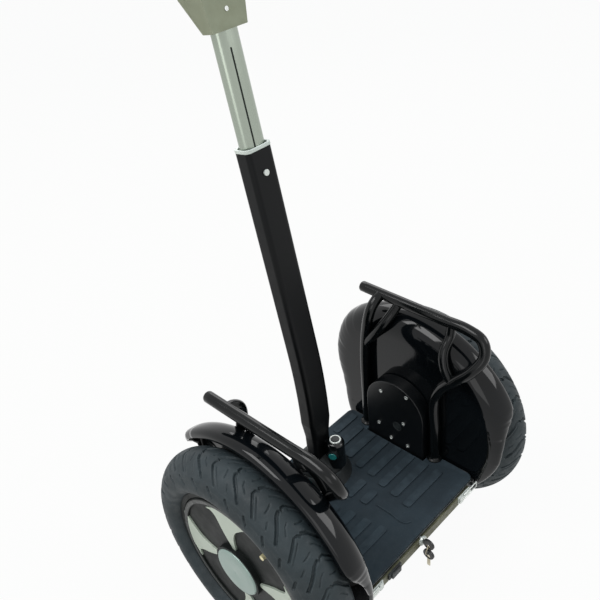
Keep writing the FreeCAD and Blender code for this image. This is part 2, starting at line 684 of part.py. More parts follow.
def side_case(name, side):
    """The upright that holds the axle, open towards the fender wall that closes it."""
    deep = CASE_OUT_X - CASE_IN_X
    start = CASE_IN_X if side > 0 else -CASE_OUT_X
    blank = prism("side_case_blank_" + name, "yz", start, deep, case_outline(as_size(0)))
    inside_start = CASE_IN_X + D.case_wall
    start = inside_start if side > 0 else -CASE_OUT_X - D.overrun
    hollow = prism("side_case_hollow_" + name, "yz", start, deep - D.case_wall + D.overrun,
                   case_outline(D.case_wall))
    shell = cut("side_case_shell_" + name, blank, hollow)
    first = (CASE_IN_X * side, as_size(0), D.tyre_r)
    way = "x" if side > 0 else "-x"
    boss = rod("side_case_boss_" + name, D.case_boss_r, first, deep, way)
    whole = fuse("side_case_whole_" + name, shell, boss)
    bore_start = ((CASE_IN_X - D.overrun) * side, as_size(0), D.tyre_r)
    bore = rod("side_case_bore_" + name, D.axle_radius + D.running_gap, bore_start,
               deep + D.overrun * 2, way)
    node(cut("side_case_" + name, whole, bore))


# Where the six screws of a side case sit: shares of its length, and of its height above the deck
case_screw_shares = ((0.72, 0.80), (0.27, 0.90), (0.78, 0.23), (0.33, 0.43), (0.56, 0.07), (0.26, 0.08))


def case_screws():
    """Round-headed socket screws on the inner faces of both side cases."""
    heads = []
    long = D.case_front_y + D.case_rear_y
    high = CASE_SHOULDER_Z - D.deck_top_z + long / 2
    for name, side in SIDES.items():
        way = "-x" if side > 0 else "x"
        for index, (along, up) in enumerate(case_screw_shares):
            y = along * long - D.case_rear_y
            z = D.deck_top_z + up * high
            label = "case_screw_%s_%d" % (name, index)
            head = rod(label, D.screw_r, (CASE_IN_X * side, y, z), D.screw_high, way)
            socket = rod(label + "_socket", D.screw_socket_r,
                         ((CASE_IN_X - D.screw_high + D.screw_socket) * side, y, z), D.overrun, way)
            heads.append(cut(label + "_head", head, socket))
    node(group("case_screws", *heads))


def deck_outline(inset):
    """The deck from above: wide at the front and rear, narrow between the side cases."""
    half = D.deck_half - inset
    waist = CASE_IN_X - D.case_gap - inset
    front = D.case_front_y + D.case_gap + inset
    rear = -D.case_rear_y - D.case_gap - inset
    right = [(half, D.deck_front_y - inset), (half, front), (waist, front), (waist, rear), (half, rear),
             (half, -D.deck_rear_y + inset)]
    left = [(-x, y) for x, y in reversed(right)]
    return right + left


def leg_tools(label, radius, low, high):
    """Upright cutters round the four rail legs."""
    tools = []
    for name, side in SIDES.items():
        for end, y in (("rear", -D.rail_leg_rear_y), ("front", D.rail_leg_front_y)):
            place = (RAIL_LEG_X * side, y, low)
            tools.append(rod("%s_%s_%s" % (label, end, name), radius, place, high - low))
    return tools


# The inner ends of the mat's rows of pads from the front, and the ends of the pads that lie in the middle
# of some rows, as shares of the deck's half width
pad_inner_shares = (0.547, 0.341, 0.341, 0.294, 0.282, 0.235, 0.212, 0.182)
centre_pad_shares = {4: (-0.106, 0.176), 5: (-0.076, 0.135)}


def deck():
    """Deck plate, and the rubber mat with its raised pads."""
    plate_low = D.deck_top_z - D.pad_high - D.mat_thick - D.deck_plate
    mat_low = plate_low + D.deck_plate
    outline = deck_outline(as_size(0))
    node(prism("deck_plate", "xy", plate_low, D.deck_plate, outline, D.deck_corner, 4))

    sheet_piece = prism("mat_sheet", "xy", mat_low, D.mat_thick, deck_outline(D.mat_margin),
                        D.deck_corner, 4)
    pads = []
    pad_low = mat_low + D.mat_thick
    first = D.pad_first_y + D.pad_pitch * 3
    for row, inner_share in enumerate(pad_inner_shares):
        rear = first - D.pad_pitch * row
        front = rear + D.pad_pitch - D.pad_gap
        outer = PAD_OUT_X if row == 0 else PAD_WAIST_X
        inner = D.deck_half * inner_share
        reaches = [("right", inner, outer), ("left", -outer, -inner)]
        if row in centre_pad_shares:
            left_share, right_share = centre_pad_shares[row]
            reaches.append(("centre", D.deck_half * left_share, D.deck_half * right_share))
        for label, low_x, high_x in reaches:
            outline = [(low_x, rear), (high_x, rear), (high_x, front), (low_x, front)]
            pads.append(prism("pad_%d_%s" % (row, label), "xy", pad_low, D.pad_high, outline, D.pad_corner))
    whole = fuse("mat_whole", sheet_piece, *pads)
    legs = leg_tools("mat_hole", D.rail_foot_r + D.leg_hole_gap, mat_low - D.overrun,
                     D.deck_top_z + D.overrun)
    boot = rod("mat_boot_hole", D.dome_r + D.boot_gap + D.boot_wall + D.boot_flare,
               (as_size(0), D.pole_y, mat_low - D.overrun), D.overrun * 3)
    node(cut("foot_mat", whole, boot, *legs))


PLATE_LOW = D.deck_top_z - D.pad_high - D.mat_thick - D.deck_plate
SHELF_TOP = PLATE_LOW - D.drawer_high
SHELF_LOW = SHELF_TOP - D.frame_shelf


def stand_lugs():
    """The two ears under the belly that hold the kickstand's cross bar."""
    y = D.stand_y
    z = D.belly_low_z - D.stand_drop
    half = D.stand_half
    lugs = []
    for name, side in SIDES.items():
        near, far = span(side, D.stand_lug_x - D.stand_lug_wall / 2, D.stand_lug_x + D.stand_lug_wall / 2)
        block = box("stand_lug_block_" + name, (near, y - D.stand_lug, z - D.stand_lug),
                    (far, y + D.stand_lug, D.belly_low_z))
        hole = rod("stand_lug_hole_" + name, D.stand_r + D.running_gap, (-half, y, z), half * 2, "x")
        lugs.append(cut("stand_lug_" + name, block, hole))
    return lugs


def chassis():
    """The welded frame: a shelf with side walls for the battery drawer, and a belly for the electronics."""
    half = FRAME_HALF
    rear = -D.deck_rear_y
    front = D.belly_front_y
    shelf = box("frame_shelf", (-half, rear, SHELF_LOW), (half, front, SHELF_TOP))
    walls = []
    block_front = rear + D.frame_block
    for name, side in SIDES.items():
        near, far = span(side, half - D.frame_wall, half)
        walls.append(box("frame_wall_" + name, (near, block_front, SHELF_TOP), (far, front, PLATE_LOW)))
        near, far = span(side, PANEL_HALF + D.drawer_gap, D.deck_half)
        walls.append(box("frame_block_" + name, (near, rear, SHELF_LOW), (far, block_front, PLATE_LOW)))
        near, far = span(side, half - D.frame_wall, D.deck_half)
        walls.append(box("frame_arm_" + name, (near, rear, SHELF_LOW), (far, block_front, SHELF_TOP)))
        post = (KEEPER_X * side, rear + D.overrun, D.latch_z)
        walls.append(rod("keeper_" + name, D.keeper_r, post, D.keeper_long + D.overrun, "-y"))
    end = box("frame_end", (-half, front - D.frame_wall, SHELF_TOP), (half, front, PLATE_LOW))
    frame = fuse("chassis_frame", shelf, end, *walls)
    node(frame)

    half = BELLY_HALF
    wall = D.belly_wall
    outer = box("belly_out", (-half, -D.belly_rear_y, D.belly_low_z), (half, front, SHELF_LOW))
    inner = box("belly_in", (-half + wall, -D.belly_rear_y + wall, D.belly_low_z + wall),
                (half - wall, front - wall, SHELF_LOW + D.overrun))
    node(fuse("belly_tray", cut("belly_shell", outer, inner), *stand_lugs()))
    boards = []
    floor = D.belly_low_z + wall
    for name, side in SIDES.items():
        near, far = span(side, D.board_x - D.board_wide / 2, D.board_x + D.board_wide / 2)
        low = (near, D.board_front_y - D.board_long, floor)
        boards.append(box("motor_driver_" + name, low, (far, D.board_front_y, floor + D.board_high)))
    near = -D.board_long / 2
    boards.append(box("balance_board", (near, -D.board_wide / 2, floor), (-near, D.board_wide / 4,
                      floor + D.board_high / 2)))
    node(group("control_boards", *boards))


def drawer():
    """The battery drawer: a thin tray, the pack in it, and the front panel with its fittings."""
    low = SHELF_TOP + D.drawer_gap
    half = FRAME_HALF - D.frame_wall - D.drawer_gap
    wall = D.drawer_wall
    high = PLATE_LOW - D.drawer_gap
    face = -D.panel_face_y + D.panel_thick
    outer = box("drawer_out", (-half, face, low), (half, D.drawer_front_y, high))
    inner = box("drawer_in", (-half + wall, face - D.overrun, low + wall),
                (half - wall, D.drawer_front_y - wall, high + D.overrun))
    node(cut("drawer_tray", outer, inner))
    node(box("battery_pack", (-BATTERY_HALF, -D.battery_rear_y, low + wall),
             (BATTERY_HALF, D.battery_front_y, high - D.battery_gap)))
    half = PANEL_HALF
    blank = prism("panel_blank", "xz", -D.panel_face_y, D.panel_thick - D.drawer_gap,
                  [(-half, D.panel_low_z), (half, D.panel_low_z), (half, PLATE_LOW - D.drawer_gap),
                   (-half, PLATE_LOW - D.drawer_gap)])
    start = (as_size(0), -D.panel_face_y - D.overrun, D.latch_z)
    hole = rod("panel_lock_hole", D.lock_r - D.lock_proud / 2, start, D.overrun * 3, "y")
    node(cut("rear_panel", blank, hole))


def latch(name, side):
    """A draw latch: base plate, hinged lever, and the wire bail that goes round a post on the frame."""
    face = -D.panel_face_y
    high = D.latch_high / 2
    near, far = span(side, LATCH_IN_X, LATCH_IN_X + D.latch_long)
    plate_y = face - D.latch_plate
    base = box("latch_base_" + name, (near, plate_y, D.latch_z - high), (far, face, D.latch_z + high))
    share("panel_hardware", base)
    pin_y = plate_y - D.lever_gap - D.lever_thick / 2
    pin_x = LATCH_IN_X + D.lever_knuckle_r
    short = high - D.lever_pin_r
    low_x, high_x = span(side, pin_x, LATCH_IN_X + D.latch_long)
    slab = box("lever_slab_" + name, (low_x, pin_y - D.lever_thick / 2, D.latch_z - short),
               (high_x, pin_y + D.lever_thick / 2, D.latch_z + short))
    slot_x = pin_x + D.bail_in
    low_x, high_x = span(side, slot_x - D.bail_r * 2, LATCH_IN_X + D.latch_long + D.overrun)
    legs = []
    for label, up in (("low", -1), ("high", 1)):
        z = D.latch_z + D.bail_half * up
        legs.append(box("lever_slot_%s_%s" % (label, name), (low_x, pin_y - D.overrun, z - D.bail_r * 2),
                        (high_x, pin_y + D.overrun, z + D.bail_r * 2)))
    node(cut("latch_lever_" + name, slab, *legs))
    x = slot_x
    end = BAIL_END_X - D.bail_r
    bar_low = (end * side, pin_y, D.latch_z - D.bail_half)
    pieces = [rod("bail_bar_" + name, D.bail_r, bar_low, D.bail_half * 2)]
    for label, up in (("low", -1), ("high", 1)):
        z = D.latch_z + D.bail_half * up
        pieces.append(rod("bail_leg_%s_%s" % (label, name), D.bail_r, (x * side, pin_y, z), end - x,
                          "x" if side > 0 else "-x"))
    node(fuse("latch_bail_" + name, *pieces))


def lock_and_keys():
    """The drawer's lock with a key in it, and a spare key that hangs on the ring."""
    face = -D.panel_face_y
    z = D.latch_z
    core_r = D.lock_core_r
    front = (as_size(0), face - D.lock_proud, z)
    share("panel_hardware", tube("lock_body", D.lock_r, core_r + D.lock_core_gap, front, D.lock_proud, "y"))
    long = D.lock_proud + D.panel_thick
    node(rod("lock_core", core_r, front, long - D.drawer_gap, "y"))
    bow_y = face - D.lock_proud - D.key_neck
    half = D.key_thick / 2
    blade_half = D.key_blade_wide / 2
    through = D.overrun * 2 + D.key_thick
    neck = box("key_neck_piece", (-half, bow_y, z - blade_half),
               (half, face - D.lock_proud, z + blade_half))
    bow = rod("key_bow", D.key_bow_r, (-half, bow_y, z), D.key_thick, "x")
    hole = rod("key_bow_hole", D.key_hole_r, (-half - D.overrun, bow_y, z - D.key_bow_r / 2), through, "x")
    node(cut("key", fuse("key_blank", neck, bow), hole))
    # The ring hangs from the hole in the bow, and the spare key hangs from the ring
    hole_z = z - D.key_bow_r / 2
    ring_z = hole_z - D.key_hole_r + D.ring_wire + D.spare_gap - D.ring_r
    ring = add("Part::Torus", "key_ring_wire")
    bind(ring, "Radius1", D.ring_r)
    bind(ring, "Radius2", D.ring_wire)
    placed(ring, (as_size(0), bow_y, ring_z), TURNS["y"])
    spare_hole_z = ring_z - D.ring_r + D.key_hole_r - D.ring_wire - D.spare_gap
    spare_z = spare_hole_z - D.key_bow_r / 2
    bow = rod("spare_bow", D.key_bow_r, (-half, bow_y, spare_z), D.key_thick, "x")
    blade = box("spare_blade", (-half, bow_y - blade_half, spare_z - D.key_bow_r - D.key_blade),
                (half, bow_y + blade_half, spare_z))
    hole = rod("spare_hole", D.key_hole_r, (-half - D.overrun, bow_y, spare_hole_z), through, "x")
    node(group("spare_key_ring", ring, cut("spare_key", fuse("spare_blank", bow, blade), hole)))


def charge_port():
    """A weatherproof inlet in the panel, with a hinged cap."""
    face = -D.panel_face_y
    half_x = D.port_long / 2
    half_z = D.port_high / 2
    z = D.latch_z
    low_x = -PORT_X - half_x
    high_x = -PORT_X + half_x
    bezel = box("port_bezel", (low_x, face - D.port_deep, z - half_z), (high_x, face, z + half_z))
    well = rod("port_well", D.port_well_r, (-PORT_X, face - D.port_deep - D.overrun, z),
               D.port_deep + D.overrun - D.port_floor, "y")
    node(cut("charge_port", bezel, well))
    low_y = face - D.port_deep - D.seat_gap - D.port_cap
    node(box("charge_cap", (low_x + D.port_end, low_y, z - half_z + D.seat_gap),
             (high_x - D.port_end, low_y + D.port_cap, z + half_z)))


def rail(name, side):
    """A bent tube handrail over the fender, its two braces and the feet on the deck."""
    top_x = RAIL_TOP_X * side
    leg_x = RAIL_LEG_X * side
    cross_x = (D.deck_half - D.rail_cross_in) * side
    foot_z = PLATE_LOW + D.deck_plate
    rear = -D.rail_rear_y
    front = D.rail_front_y
    knee_z = RAIL_TOP_Z - D.rail_knee_drop
    side_z = RAIL_TOP_Z - D.rail_drop
    rear_elbow = point(leg_x, -D.rail_elbow_rear_y, RAIL_TOP_Z - D.rail_elbow_drop)
    front_elbow = point(leg_x, D.rail_elbow_front_y, RAIL_TOP_Z - D.rail_elbow_front_drop)
    places = [point(leg_x, -D.rail_leg_rear_y, foot_z), point(leg_x, -D.rail_leg_rear_y, knee_z),
              rear_elbow, point(cross_x, -D.rail_cross_rear_y, RAIL_TOP_Z - D.rail_cross_drop),
              point(top_x, rear, side_z), point(top_x, rear, RAIL_TOP_Z),
              point(top_x, front, RAIL_TOP_Z), point(top_x, front, side_z),
              point(cross_x, front, RAIL_TOP_Z - D.rail_cross_front_drop), front_elbow,
              point(leg_x, D.rail_leg_front_y, knee_z - D.rail_bend),
              point(leg_x, D.rail_leg_front_y, foot_z)]
    small = D.rail_small_bend.value
    wide = D.rail_bend.value
    bends = [wide, small, small, small / 2, wide / 2, wide, small / 2, small / 2, small, wide]
    bar = feature("rail_bar_" + name, bent_tube(places, bends, D.rail_r.value))
    bore = feature("rail_bore_" + name, bent_tube(places, bends, (D.rail_r - D.rail_wall).value))
    node(cut("rail_" + name, bar, bore))

    # The braces run into the rail and are coped to its surface
    brace_bends = [D.brace_bend.value] * 2
    inner_x = (D.deck_half - D.brace_in) * side
    high_z = RAIL_TOP_Z - D.brace_high_drop
    low_z = RAIL_TOP_Z - D.brace_low_drop
    rear_brace = bent_tube([point(top_x, -D.brace_rear_y, RAIL_TOP_Z),
                            point(top_x, -D.brace_rear_y, high_z),
                            point(inner_x, -D.brace_rear_y, low_z), rear_elbow],
                           brace_bends, D.brace_r.value)
    front_brace = bent_tube([point(top_x, D.brace_front_y, RAIL_TOP_Z),
                             point(inner_x, D.brace_front_bow_y, RAIL_TOP_Z - D.brace_front_drop),
                             point(inner_x, D.brace_front_low_y, low_z), front_elbow],
                            brace_bends, D.brace_r.value)
    for label, brace in (("rear", rear_brace), ("front", front_brace)):
        blank = feature("%s_brace_blank_%s" % (label, name), brace)
        whole_rail = feature("%s_brace_cope_%s" % (label, name), bent_tube(places, bends, D.rail_r.value))
        share("rail_fittings", cut("%s_brace_%s" % (label, name), blank, whole_rail))


def rail_feet():
    """Flanges that hold the rail legs on the deck plate."""
    feet = []
    foot_z = PLATE_LOW + D.deck_plate
    for name, side in SIDES.items():
        for end, y in (("rear", -D.rail_leg_rear_y), ("front", D.rail_leg_front_y)):
            place = (RAIL_LEG_X * side, y, foot_z)
            feet.append(tube("rail_foot_%s_%s" % (end, name), D.rail_foot_r, D.rail_r, place,
                             D.rail_foot + D.mat_thick + D.pad_high))
    share("rail_fittings", *feet)


def leaning(thing, place, way="z"):
    """Puts an object at a place on the leaning pole, turned with it."""
    placed(thing, place)
    tilt = FreeCAD.Rotation(Vec(1, 0, 0), -LEAN.value)
    thing.Placement = FreeCAD.Placement(thing.Placement.Base, tilt.multiply(TURNS[way]))
    return thing


def lean_box(label, low, high):
    """A block between two corners given as across, forward and along the leaning pole."""
    thing = add("Part::Box", label)
    for name, a, b in zip(("Length", "Width", "Height"), low, high):
        bind(thing, name, as_size(b) - as_size(a))
    return leaning(thing, on_pole(*low))


def lean_rod(label, radius, place, length, way="z"):
    thing = add("Part::Cylinder", label)
    bind(thing, "Radius", radius)
    bind(thing, "Height", length)
    return leaning(thing, on_pole(*place), way)


BEND_STEPS = 9


def pole_sections(inset):
    """Rounded sections up the pole: slender at the foot, full from the bend on and along the straight."""
    arc = D.pole_bend_r.value * math.radians(LEAN.value)
    foot = D.pole_bend_low_z.value - D.pole_root_z.value
    whole = foot + arc + POLE_TOP.value
    neck = D.pole_neck.value
    stops = [0, neck] + [foot + arc * part / BEND_STEPS for part in range(BEND_STEPS + 1)] + [whole]
    wires = []
    for stop in stops:
        half_x, half_y = (D.pole_low_x, D.pole_low_y) if stop <= neck else (D.pole_top_x, D.pole_top_y)
        wire = rounded_section(half_x.value - inset, half_y.value - inset, D.pole_corner.value - inset)
        if stop <= foot:
            place = Vec(0, D.pole_y.value, D.pole_root_z.value + stop)
            angle = 0
        elif stop <= foot + arc:
            angle = math.degrees((stop - foot) / D.pole_bend_r.value)
            turn = math.radians(angle)
            place = Vec(0, D.pole_y.value + D.pole_bend_r.value * (1 - math.cos(turn)),
                        D.pole_bend_low_z.value + D.pole_bend_r.value * math.sin(turn))
        else:
            angle = LEAN.value
            place = point(*on_pole(0, 0, as_size(stop - foot - arc)))
        wire.Placement = FreeCAD.Placement(place, FreeCAD.Rotation(Vec(1, 0, 0), -angle))
        wires.append(wire)
    return wires


def lean_tube(label, half_x, half_y, corner, low, long):
    """A rounded bar along the leaning pole, from the sheet's values."""
    face = Part.Face(rounded_section(half_x.value, half_y.value, corner.value))
    thing = add("Part::Feature", label)
    thing.Shape = face.extrude(Vec(0, 0, as_size(long).value))
    return leaning(thing, on_pole(0, 0, low))


def pole_lower():
    """The black lower tube, its collar and clamp bolt, the hub it stands on and the dome round it."""
    outer = feature("pole_outer", Part.makeLoft(pole_sections(0), True, True))
    hollow = feature("pole_hollow", Part.makeLoft(pole_sections(D.pole_wall.value), True, True))
    gap = D.pole_bore_gap
    bore_long = D.pole_bore_long
    bore = lean_tube("pole_bore", D.inner_x + gap, D.inner_y + gap, D.inner_corner, POLE_TOP - bore_long,
                     bore_long + D.overrun)
    bolt_along = POLE_TOP - D.bolt_below
    rear = -D.inner_y - gap
    hole_start = (0, rear + D.overrun, bolt_along)
    hole = lean_rod("pole_bolt_hole", D.bolt_shank_r + D.seat_gap, hole_start, D.overrun * 2, "-y")
    node(cut("pole_lower", cut("pole_tube", outer, hollow), bore, hole))
    over = D.collar_over
    collar = lean_tube("collar_out", D.pole_top_x + over, D.pole_top_y + over, D.pole_corner + over,
                       POLE_TOP, D.collar_high)
    collar_bore = lean_tube("collar_in", D.inner_x + gap, D.inner_y + gap, D.inner_corner,
                            POLE_TOP - D.overrun, D.collar_high + D.overrun * 2)
    node(cut("pole_collar", collar, collar_bore))
    face = -D.pole_top_y - D.seat_gap
    head = lean_rod("bolt_head", D.bolt_r, (0, face, bolt_along), D.bolt_high, "-y")
    shank = lean_rod("bolt_shank", D.bolt_shank_r, (0, rear, bolt_along), face * -1 + rear, "-y")
    node(fuse("height_bolt", head, shank))


def pole_foot():
    """Where the pole leans from side to side: a hub on a shaft between two brackets, under a dome."""
    y = D.pole_y
    z = D.lean_z
    plate = PLATE_LOW + D.deck_plate
    hub = box("hub_block_piece", (-D.hub_half_x, y - D.hub_half_y, z - D.hub_drop),
              (D.hub_half_x, y + D.hub_half_y, D.pole_root_z))
    long = D.hub_half_y + D.bracket_gap + D.bracket_wall
    bore = rod("hub_bore", D.shaft_r + D.running_gap, (as_size(0), y - long, z), long * 2, "y")
    node(cut("pole_hub", hub, bore))
    lugs = [rod("lean_shaft", D.shaft_r, (as_size(0), y - long, z), long * 2, "y")]
    for label, side in (("rear", -1), ("front", 1)):
        near = y + (D.hub_half_y + D.bracket_gap) * side
        lug = box("bracket_lug_" + label, (-D.bracket_half, near, plate),
                  (D.bracket_half, near + D.bracket_wall * side, z + D.bracket_over))
        start = (as_size(0), y - long - D.overrun, z)
        hole = rod("bracket_hole_" + label, D.shaft_r + D.running_gap, start, (long + D.overrun) * 2, "y")
        lugs.append(cut("bracket_" + label, lug, hole))
    node(group("lean_pivot", *lugs))

    outer = D.dome_r
    inner = D.dome_r - D.dome_wall
    outline = [(outer, as_size(0), outer), (as_size(0), outer), (as_size(0), inner, -inner),
               (inner, as_size(0))]
    shell = lathe("dome_shell", outline, (as_size(0), y, z))
    gap = D.seat_gap
    half_x = D.pole_low_x + gap
    half_y = D.pole_low_y + gap
    hole = prism("dome_pole_hole", "xy", D.pole_root_z - D.overrun * 2, D.dome_r,
                 [(-half_x, y - half_y), (half_x, y - half_y), (half_x, y + half_y), (-half_x, y + half_y)],
                 D.pole_corner)
    place = (D.console_x, D.console_y, D.console_low_z - gap)
    console_hole = rod("dome_console_hole", D.console_r + gap, place, D.dome_r)
    low, high = console_neck()
    neck_hole = box("dome_neck_hole", (low[0] - gap, low[1], low[2] - gap),
                    (high[0] + gap, high[1], high[2] + gap))
    node(cut("pole_dome", shell, hole, console_hole, neck_hole))

    near = D.dome_r + D.boot_gap
    edge = D.boot_high
    low = plate - z
    lip = root(near * near - edge * edge)
    brim = near + D.boot_wall + D.boot_flare
    outline = [(near, low), (brim, low), (brim, low + D.boot_wall), (near, edge), (lip, edge, -near),
               (near, as_size(0))]
    node(lathe("boot", outline, (as_size(0), y, z)))


def console_neck():
    """The corners of the neck that joins the console to the pole."""
    edge = D.console_edge
    pole_face = D.pole_y - D.pole_low_y - D.seat_gap
    return ((D.console_x - D.console_r + edge, D.console_y, D.console_low_z + edge),
            (D.console_x, pole_face, D.console_top_z - edge))


def round_can(label, radius, place, height, edge):
    """An upright round can with a rounded top edge."""
    outline = [(as_size(0), as_size(0)), (radius, as_size(0)), (radius, height - edge, edge),
               (radius - edge, height), (as_size(0), height)]
    return lathe(label, outline, place)


def lamp_rod(label, radius, reach, length):
    """A cylinder out of the console's wall, in the way that the lamp looks."""
    turn = D.lens_turn_angle
    place = (D.console_x - sin(turn) * reach, D.console_y - cos(turn) * reach, D.lens_z)
    thing = rod(label, radius, place, length, "-y")
    swing = FreeCAD.Rotation(Vec(0, 0, 1), -turn.value)
    thing.Placement = FreeCAD.Placement(thing.Placement.Base, swing.multiply(TURNS["-y"]))
    return thing


def console():
    """The small round housing behind the pole: power button in a ring on top, lamp on the left."""
    x = D.console_x
    y = D.console_y
    low = D.console_low_z
    top = D.console_top_z
    blank = round_can("console_can", D.console_r, (x, y, low), top - low, D.console_edge)
    pole_face = D.pole_y - D.pole_low_y - D.seat_gap
    neck = box("console_neck", *console_neck())
    well = rod("console_well", D.button_ring_in_r, (x, y, top - D.button_ring_high), D.button_ring_high * 2)
    seat = D.console_r - D.lens_flat
    flat = lamp_rod("console_flat", D.bezel_r + D.seat_gap, seat, D.overrun)
    beyond = box("console_beyond", (x - D.console_r * 2, pole_face, low - D.overrun),
                 (x + D.console_r * 2, pole_face + D.overrun * 2, top + D.overrun))
    node(cut("console", fuse("console_whole", blank, neck), well, flat, beyond))
    ring = tube("button_ring", D.button_ring_r, D.button_ring_in_r, (x, y, top), D.button_ring_high)
    button_low = top - D.button_ring_high / 2
    node(rod("power_button", D.button_ring_in_r - D.button_gap, (x, y, button_low),
             top + D.button_ring_high + D.button_proud / 2 - button_low))
    bezel = cut("lamp_bezel", lamp_rod("lamp_bezel_out", D.bezel_r, seat, D.bezel_deep),
                lamp_rod("lamp_bezel_in", D.lens_r + D.running_gap, seat, D.bezel_deep))
    node(group("console_rings", ring, bezel))
    node(lamp_rod("lamp_lens", D.lens_r, seat, D.bezel_deep + D.lens_proud))


def pole_upper():
    """The bright inner tube that sets the height, with its groove."""
    low = POLE_TOP - D.inner_below
    long = D.inner_below + D.inner_out + D.head_socket
    wall = D.inner_wall
    outer = lean_tube("inner_out_piece", D.inner_x, D.inner_y, D.inner_corner, low, long)
    bore = lean_tube("inner_bore", D.inner_x - wall, D.inner_y - wall, D.inner_corner - wall,
                     low - D.overrun, long + D.overrun * 2)
    groove = lean_box("inner_groove", (-D.slot_x - D.slot_wide / 2, -D.inner_y - D.overrun, low),
                      (-D.slot_x + D.slot_wide / 2, -D.inner_y + D.slot_deep, HEAD_LOW - D.slot_top))
    node(cut("pole_inner", outer, bore, groove))


def head_section(half, back, side, nose, front, along, slope=None):
    """One six-cornered section of the head, dropping towards the rear when a slope is given."""
    slope = as_size(0) if slope is None else slope
    ring = ((-half, -back), (half, -back), (half, side), (nose, front), (-nose, front), (-half, side))
    corners = []
    for across, forward in ring + ring[:1]:
        drop = slope * (front - forward) / (front + back)
        corners.append(point(*on_pole(across, forward, HEAD_LOW + along - drop)))
    return Part.makePolygon(corners)


def head():
    """The faceted head in two halves that clamp the handlebar, with its screws and window."""
    top = D.head_high
    widest = (D.head_half, D.head_back, D.head_side, D.head_nose, D.head_front)
    sections = [head_section(D.head_low_half, D.head_low_back, D.head_low_side, D.head_low_nose,
                             D.head_low_front, as_size(0)),
                head_section(*widest, D.head_flare),
                head_section(*widest, D.head_shoulder),
                head_section(D.head_top_half, D.head_back, D.head_top_side, D.head_top_nose,
                             D.head_top_front, top, D.head_slope)]
    solid = Part.makeLoft(sections, True, True)
    reach = D.head_half * 2
    low = HEAD_LOW - D.overrun
    high = HEAD_LOW + top + D.overrun
    split = D.bar_forward
    gap = D.running_gap
    halves = (("rear", -D.head_back - D.overrun, split),
              ("front", split + D.head_seam, D.head_front + D.overrun))
    for label, near, far in halves:
        blank = feature("head_blank_" + label, solid.copy())
        keep = lean_box("head_keep_" + label, (-reach, near, low), (reach, far, high))
        half = add("Part::Common", "head_half_" + label)
        half.Base = blank
        half.Tool = keep
        socket = lean_tube("head_socket_" + label, D.inner_x + gap, D.inner_y + gap, D.inner_corner, low,
                           D.head_socket + D.overrun + gap)
        hole_start = (-reach, D.bar_forward, HEAD_LOW + D.bar_along)
        bar = lean_rod("head_bar_hole_" + label, D.bar_r + gap, hole_start, reach * 2, "x")
        node(cut("head_" + label, half, socket, bar))
    screws = []
    for index in range(3):
        along = HEAD_LOW + D.head_screw_low + D.head_screw_pitch * index
        below = D.head_flare - (along - HEAD_LOW)
        share = below / D.head_flare if below.value > 0 else as_size(0)
        face = D.head_back - (D.head_back - D.head_low_back) * share
        screws.append(lean_rod("head_screw_%d" % index, D.head_screw_r, (0, -face - D.head_screw_seat, along),
                               D.head_screw_high, "-y"))
    node(group("head_screws", *screws))

    # The window lies on the sloping top, above the rear half
    slope = math.atan2(D.head_slope.value, (D.head_back + D.head_top_front).value)
    glass = add("Part::Box", "display_window")
    bind(glass, "Length", D.display_half * 2)
    bind(glass, "Width", D.bar_forward + D.head_back - D.display_thick * 2)
    bind(glass, "Height", D.display_thick)
    start = D.display_thick - D.head_back
    rise = D.head_slope * (start + D.head_back) / (D.head_back + D.head_top_front)
    placed(glass, on_pole(-D.display_half, start, HEAD_LOW + top - D.head_slope + rise + D.running_gap))
    tilt = FreeCAD.Rotation(Vec(1, 0, 0), math.degrees(slope) - LEAN.value)
    glass.Placement = FreeCAD.Placement(glass.Placement.Base, tilt)
    node(glass)


def handlebar():
    """The cross bar with its grips and end plugs."""
    along = HEAD_LOW + D.bar_along
    forward = D.bar_forward
    half = D.bar_half
    node(lean_rod("handlebar", D.bar_r, (-half, forward, along), half * 2, "x"))
    rubber = []
    for name, side in SIDES.items():
        way = "x" if side > 0 else "-x"
        inner = (half - D.grip_long) * side
        sleeve = lean_rod("grip_sleeve_" + name, D.grip_r, (inner, forward, along), D.grip_long, way)
        flange = lean_rod("grip_flange_" + name, D.grip_flange_r, (inner, forward, along),
                          D.grip_flange, way)
        start = (inner - D.overrun * side, forward, along)
        bore = lean_rod("grip_bore_" + name, D.bar_r + D.running_gap, start,
                        D.grip_long + D.overrun * 2, way)
        rubber.append(cut("grip_" + name, fuse("grip_blank_" + name, sleeve, flange), bore))
        end = (half * side, forward, along)
        rubber.append(lean_rod("bar_plug_" + name, D.plug_r, end, D.plug_long, way))
    node(group("grips", *rubber))


def kickstand():
    """A folding prop under the front of the deck, with two rubber feet."""
    y = D.stand_y
    z = D.belly_low_z - D.stand_drop
    foot = D.stand_foot_y
    half = D.stand_half
    floor = D.stand_foot_floor
    places = [point(-half, foot, floor), point(-half, y, z), point(half, y, z), point(half, foot, floor)]
    bends = [D.stand_bend.value] * 2
    bar = bent_tube(places, bends, D.stand_r.value)
    leg = feature("kickstand", bar)
    node(leg)
    feet = []
    for name, side in SIDES.items():
        pad = rod("stand_pad_" + name, D.stand_foot_r, (half * side, foot, as_size(0)), D.stand_foot_high)
        feet.append(cut("stand_foot_" + name, pad, feature("stand_leg_cut_" + name, bar.copy())))
    node(group("stand_feet", *feet))


for name, side in SIDES.items():
    wheel(name, side)
    fender(name, side)
    side_case(name, side)
    latch(name, side)
    rail(name, side)
case_screws()
deck()
chassis()
drawer()
lock_and_keys()
charge_port()
rail_feet()
pole_lower()
pole_foot()
console()
pole_upper()
head()
handlebar()
kickstand()
for label, things in SHARED.items():
    node(group(label, *things))
doc.recompute()

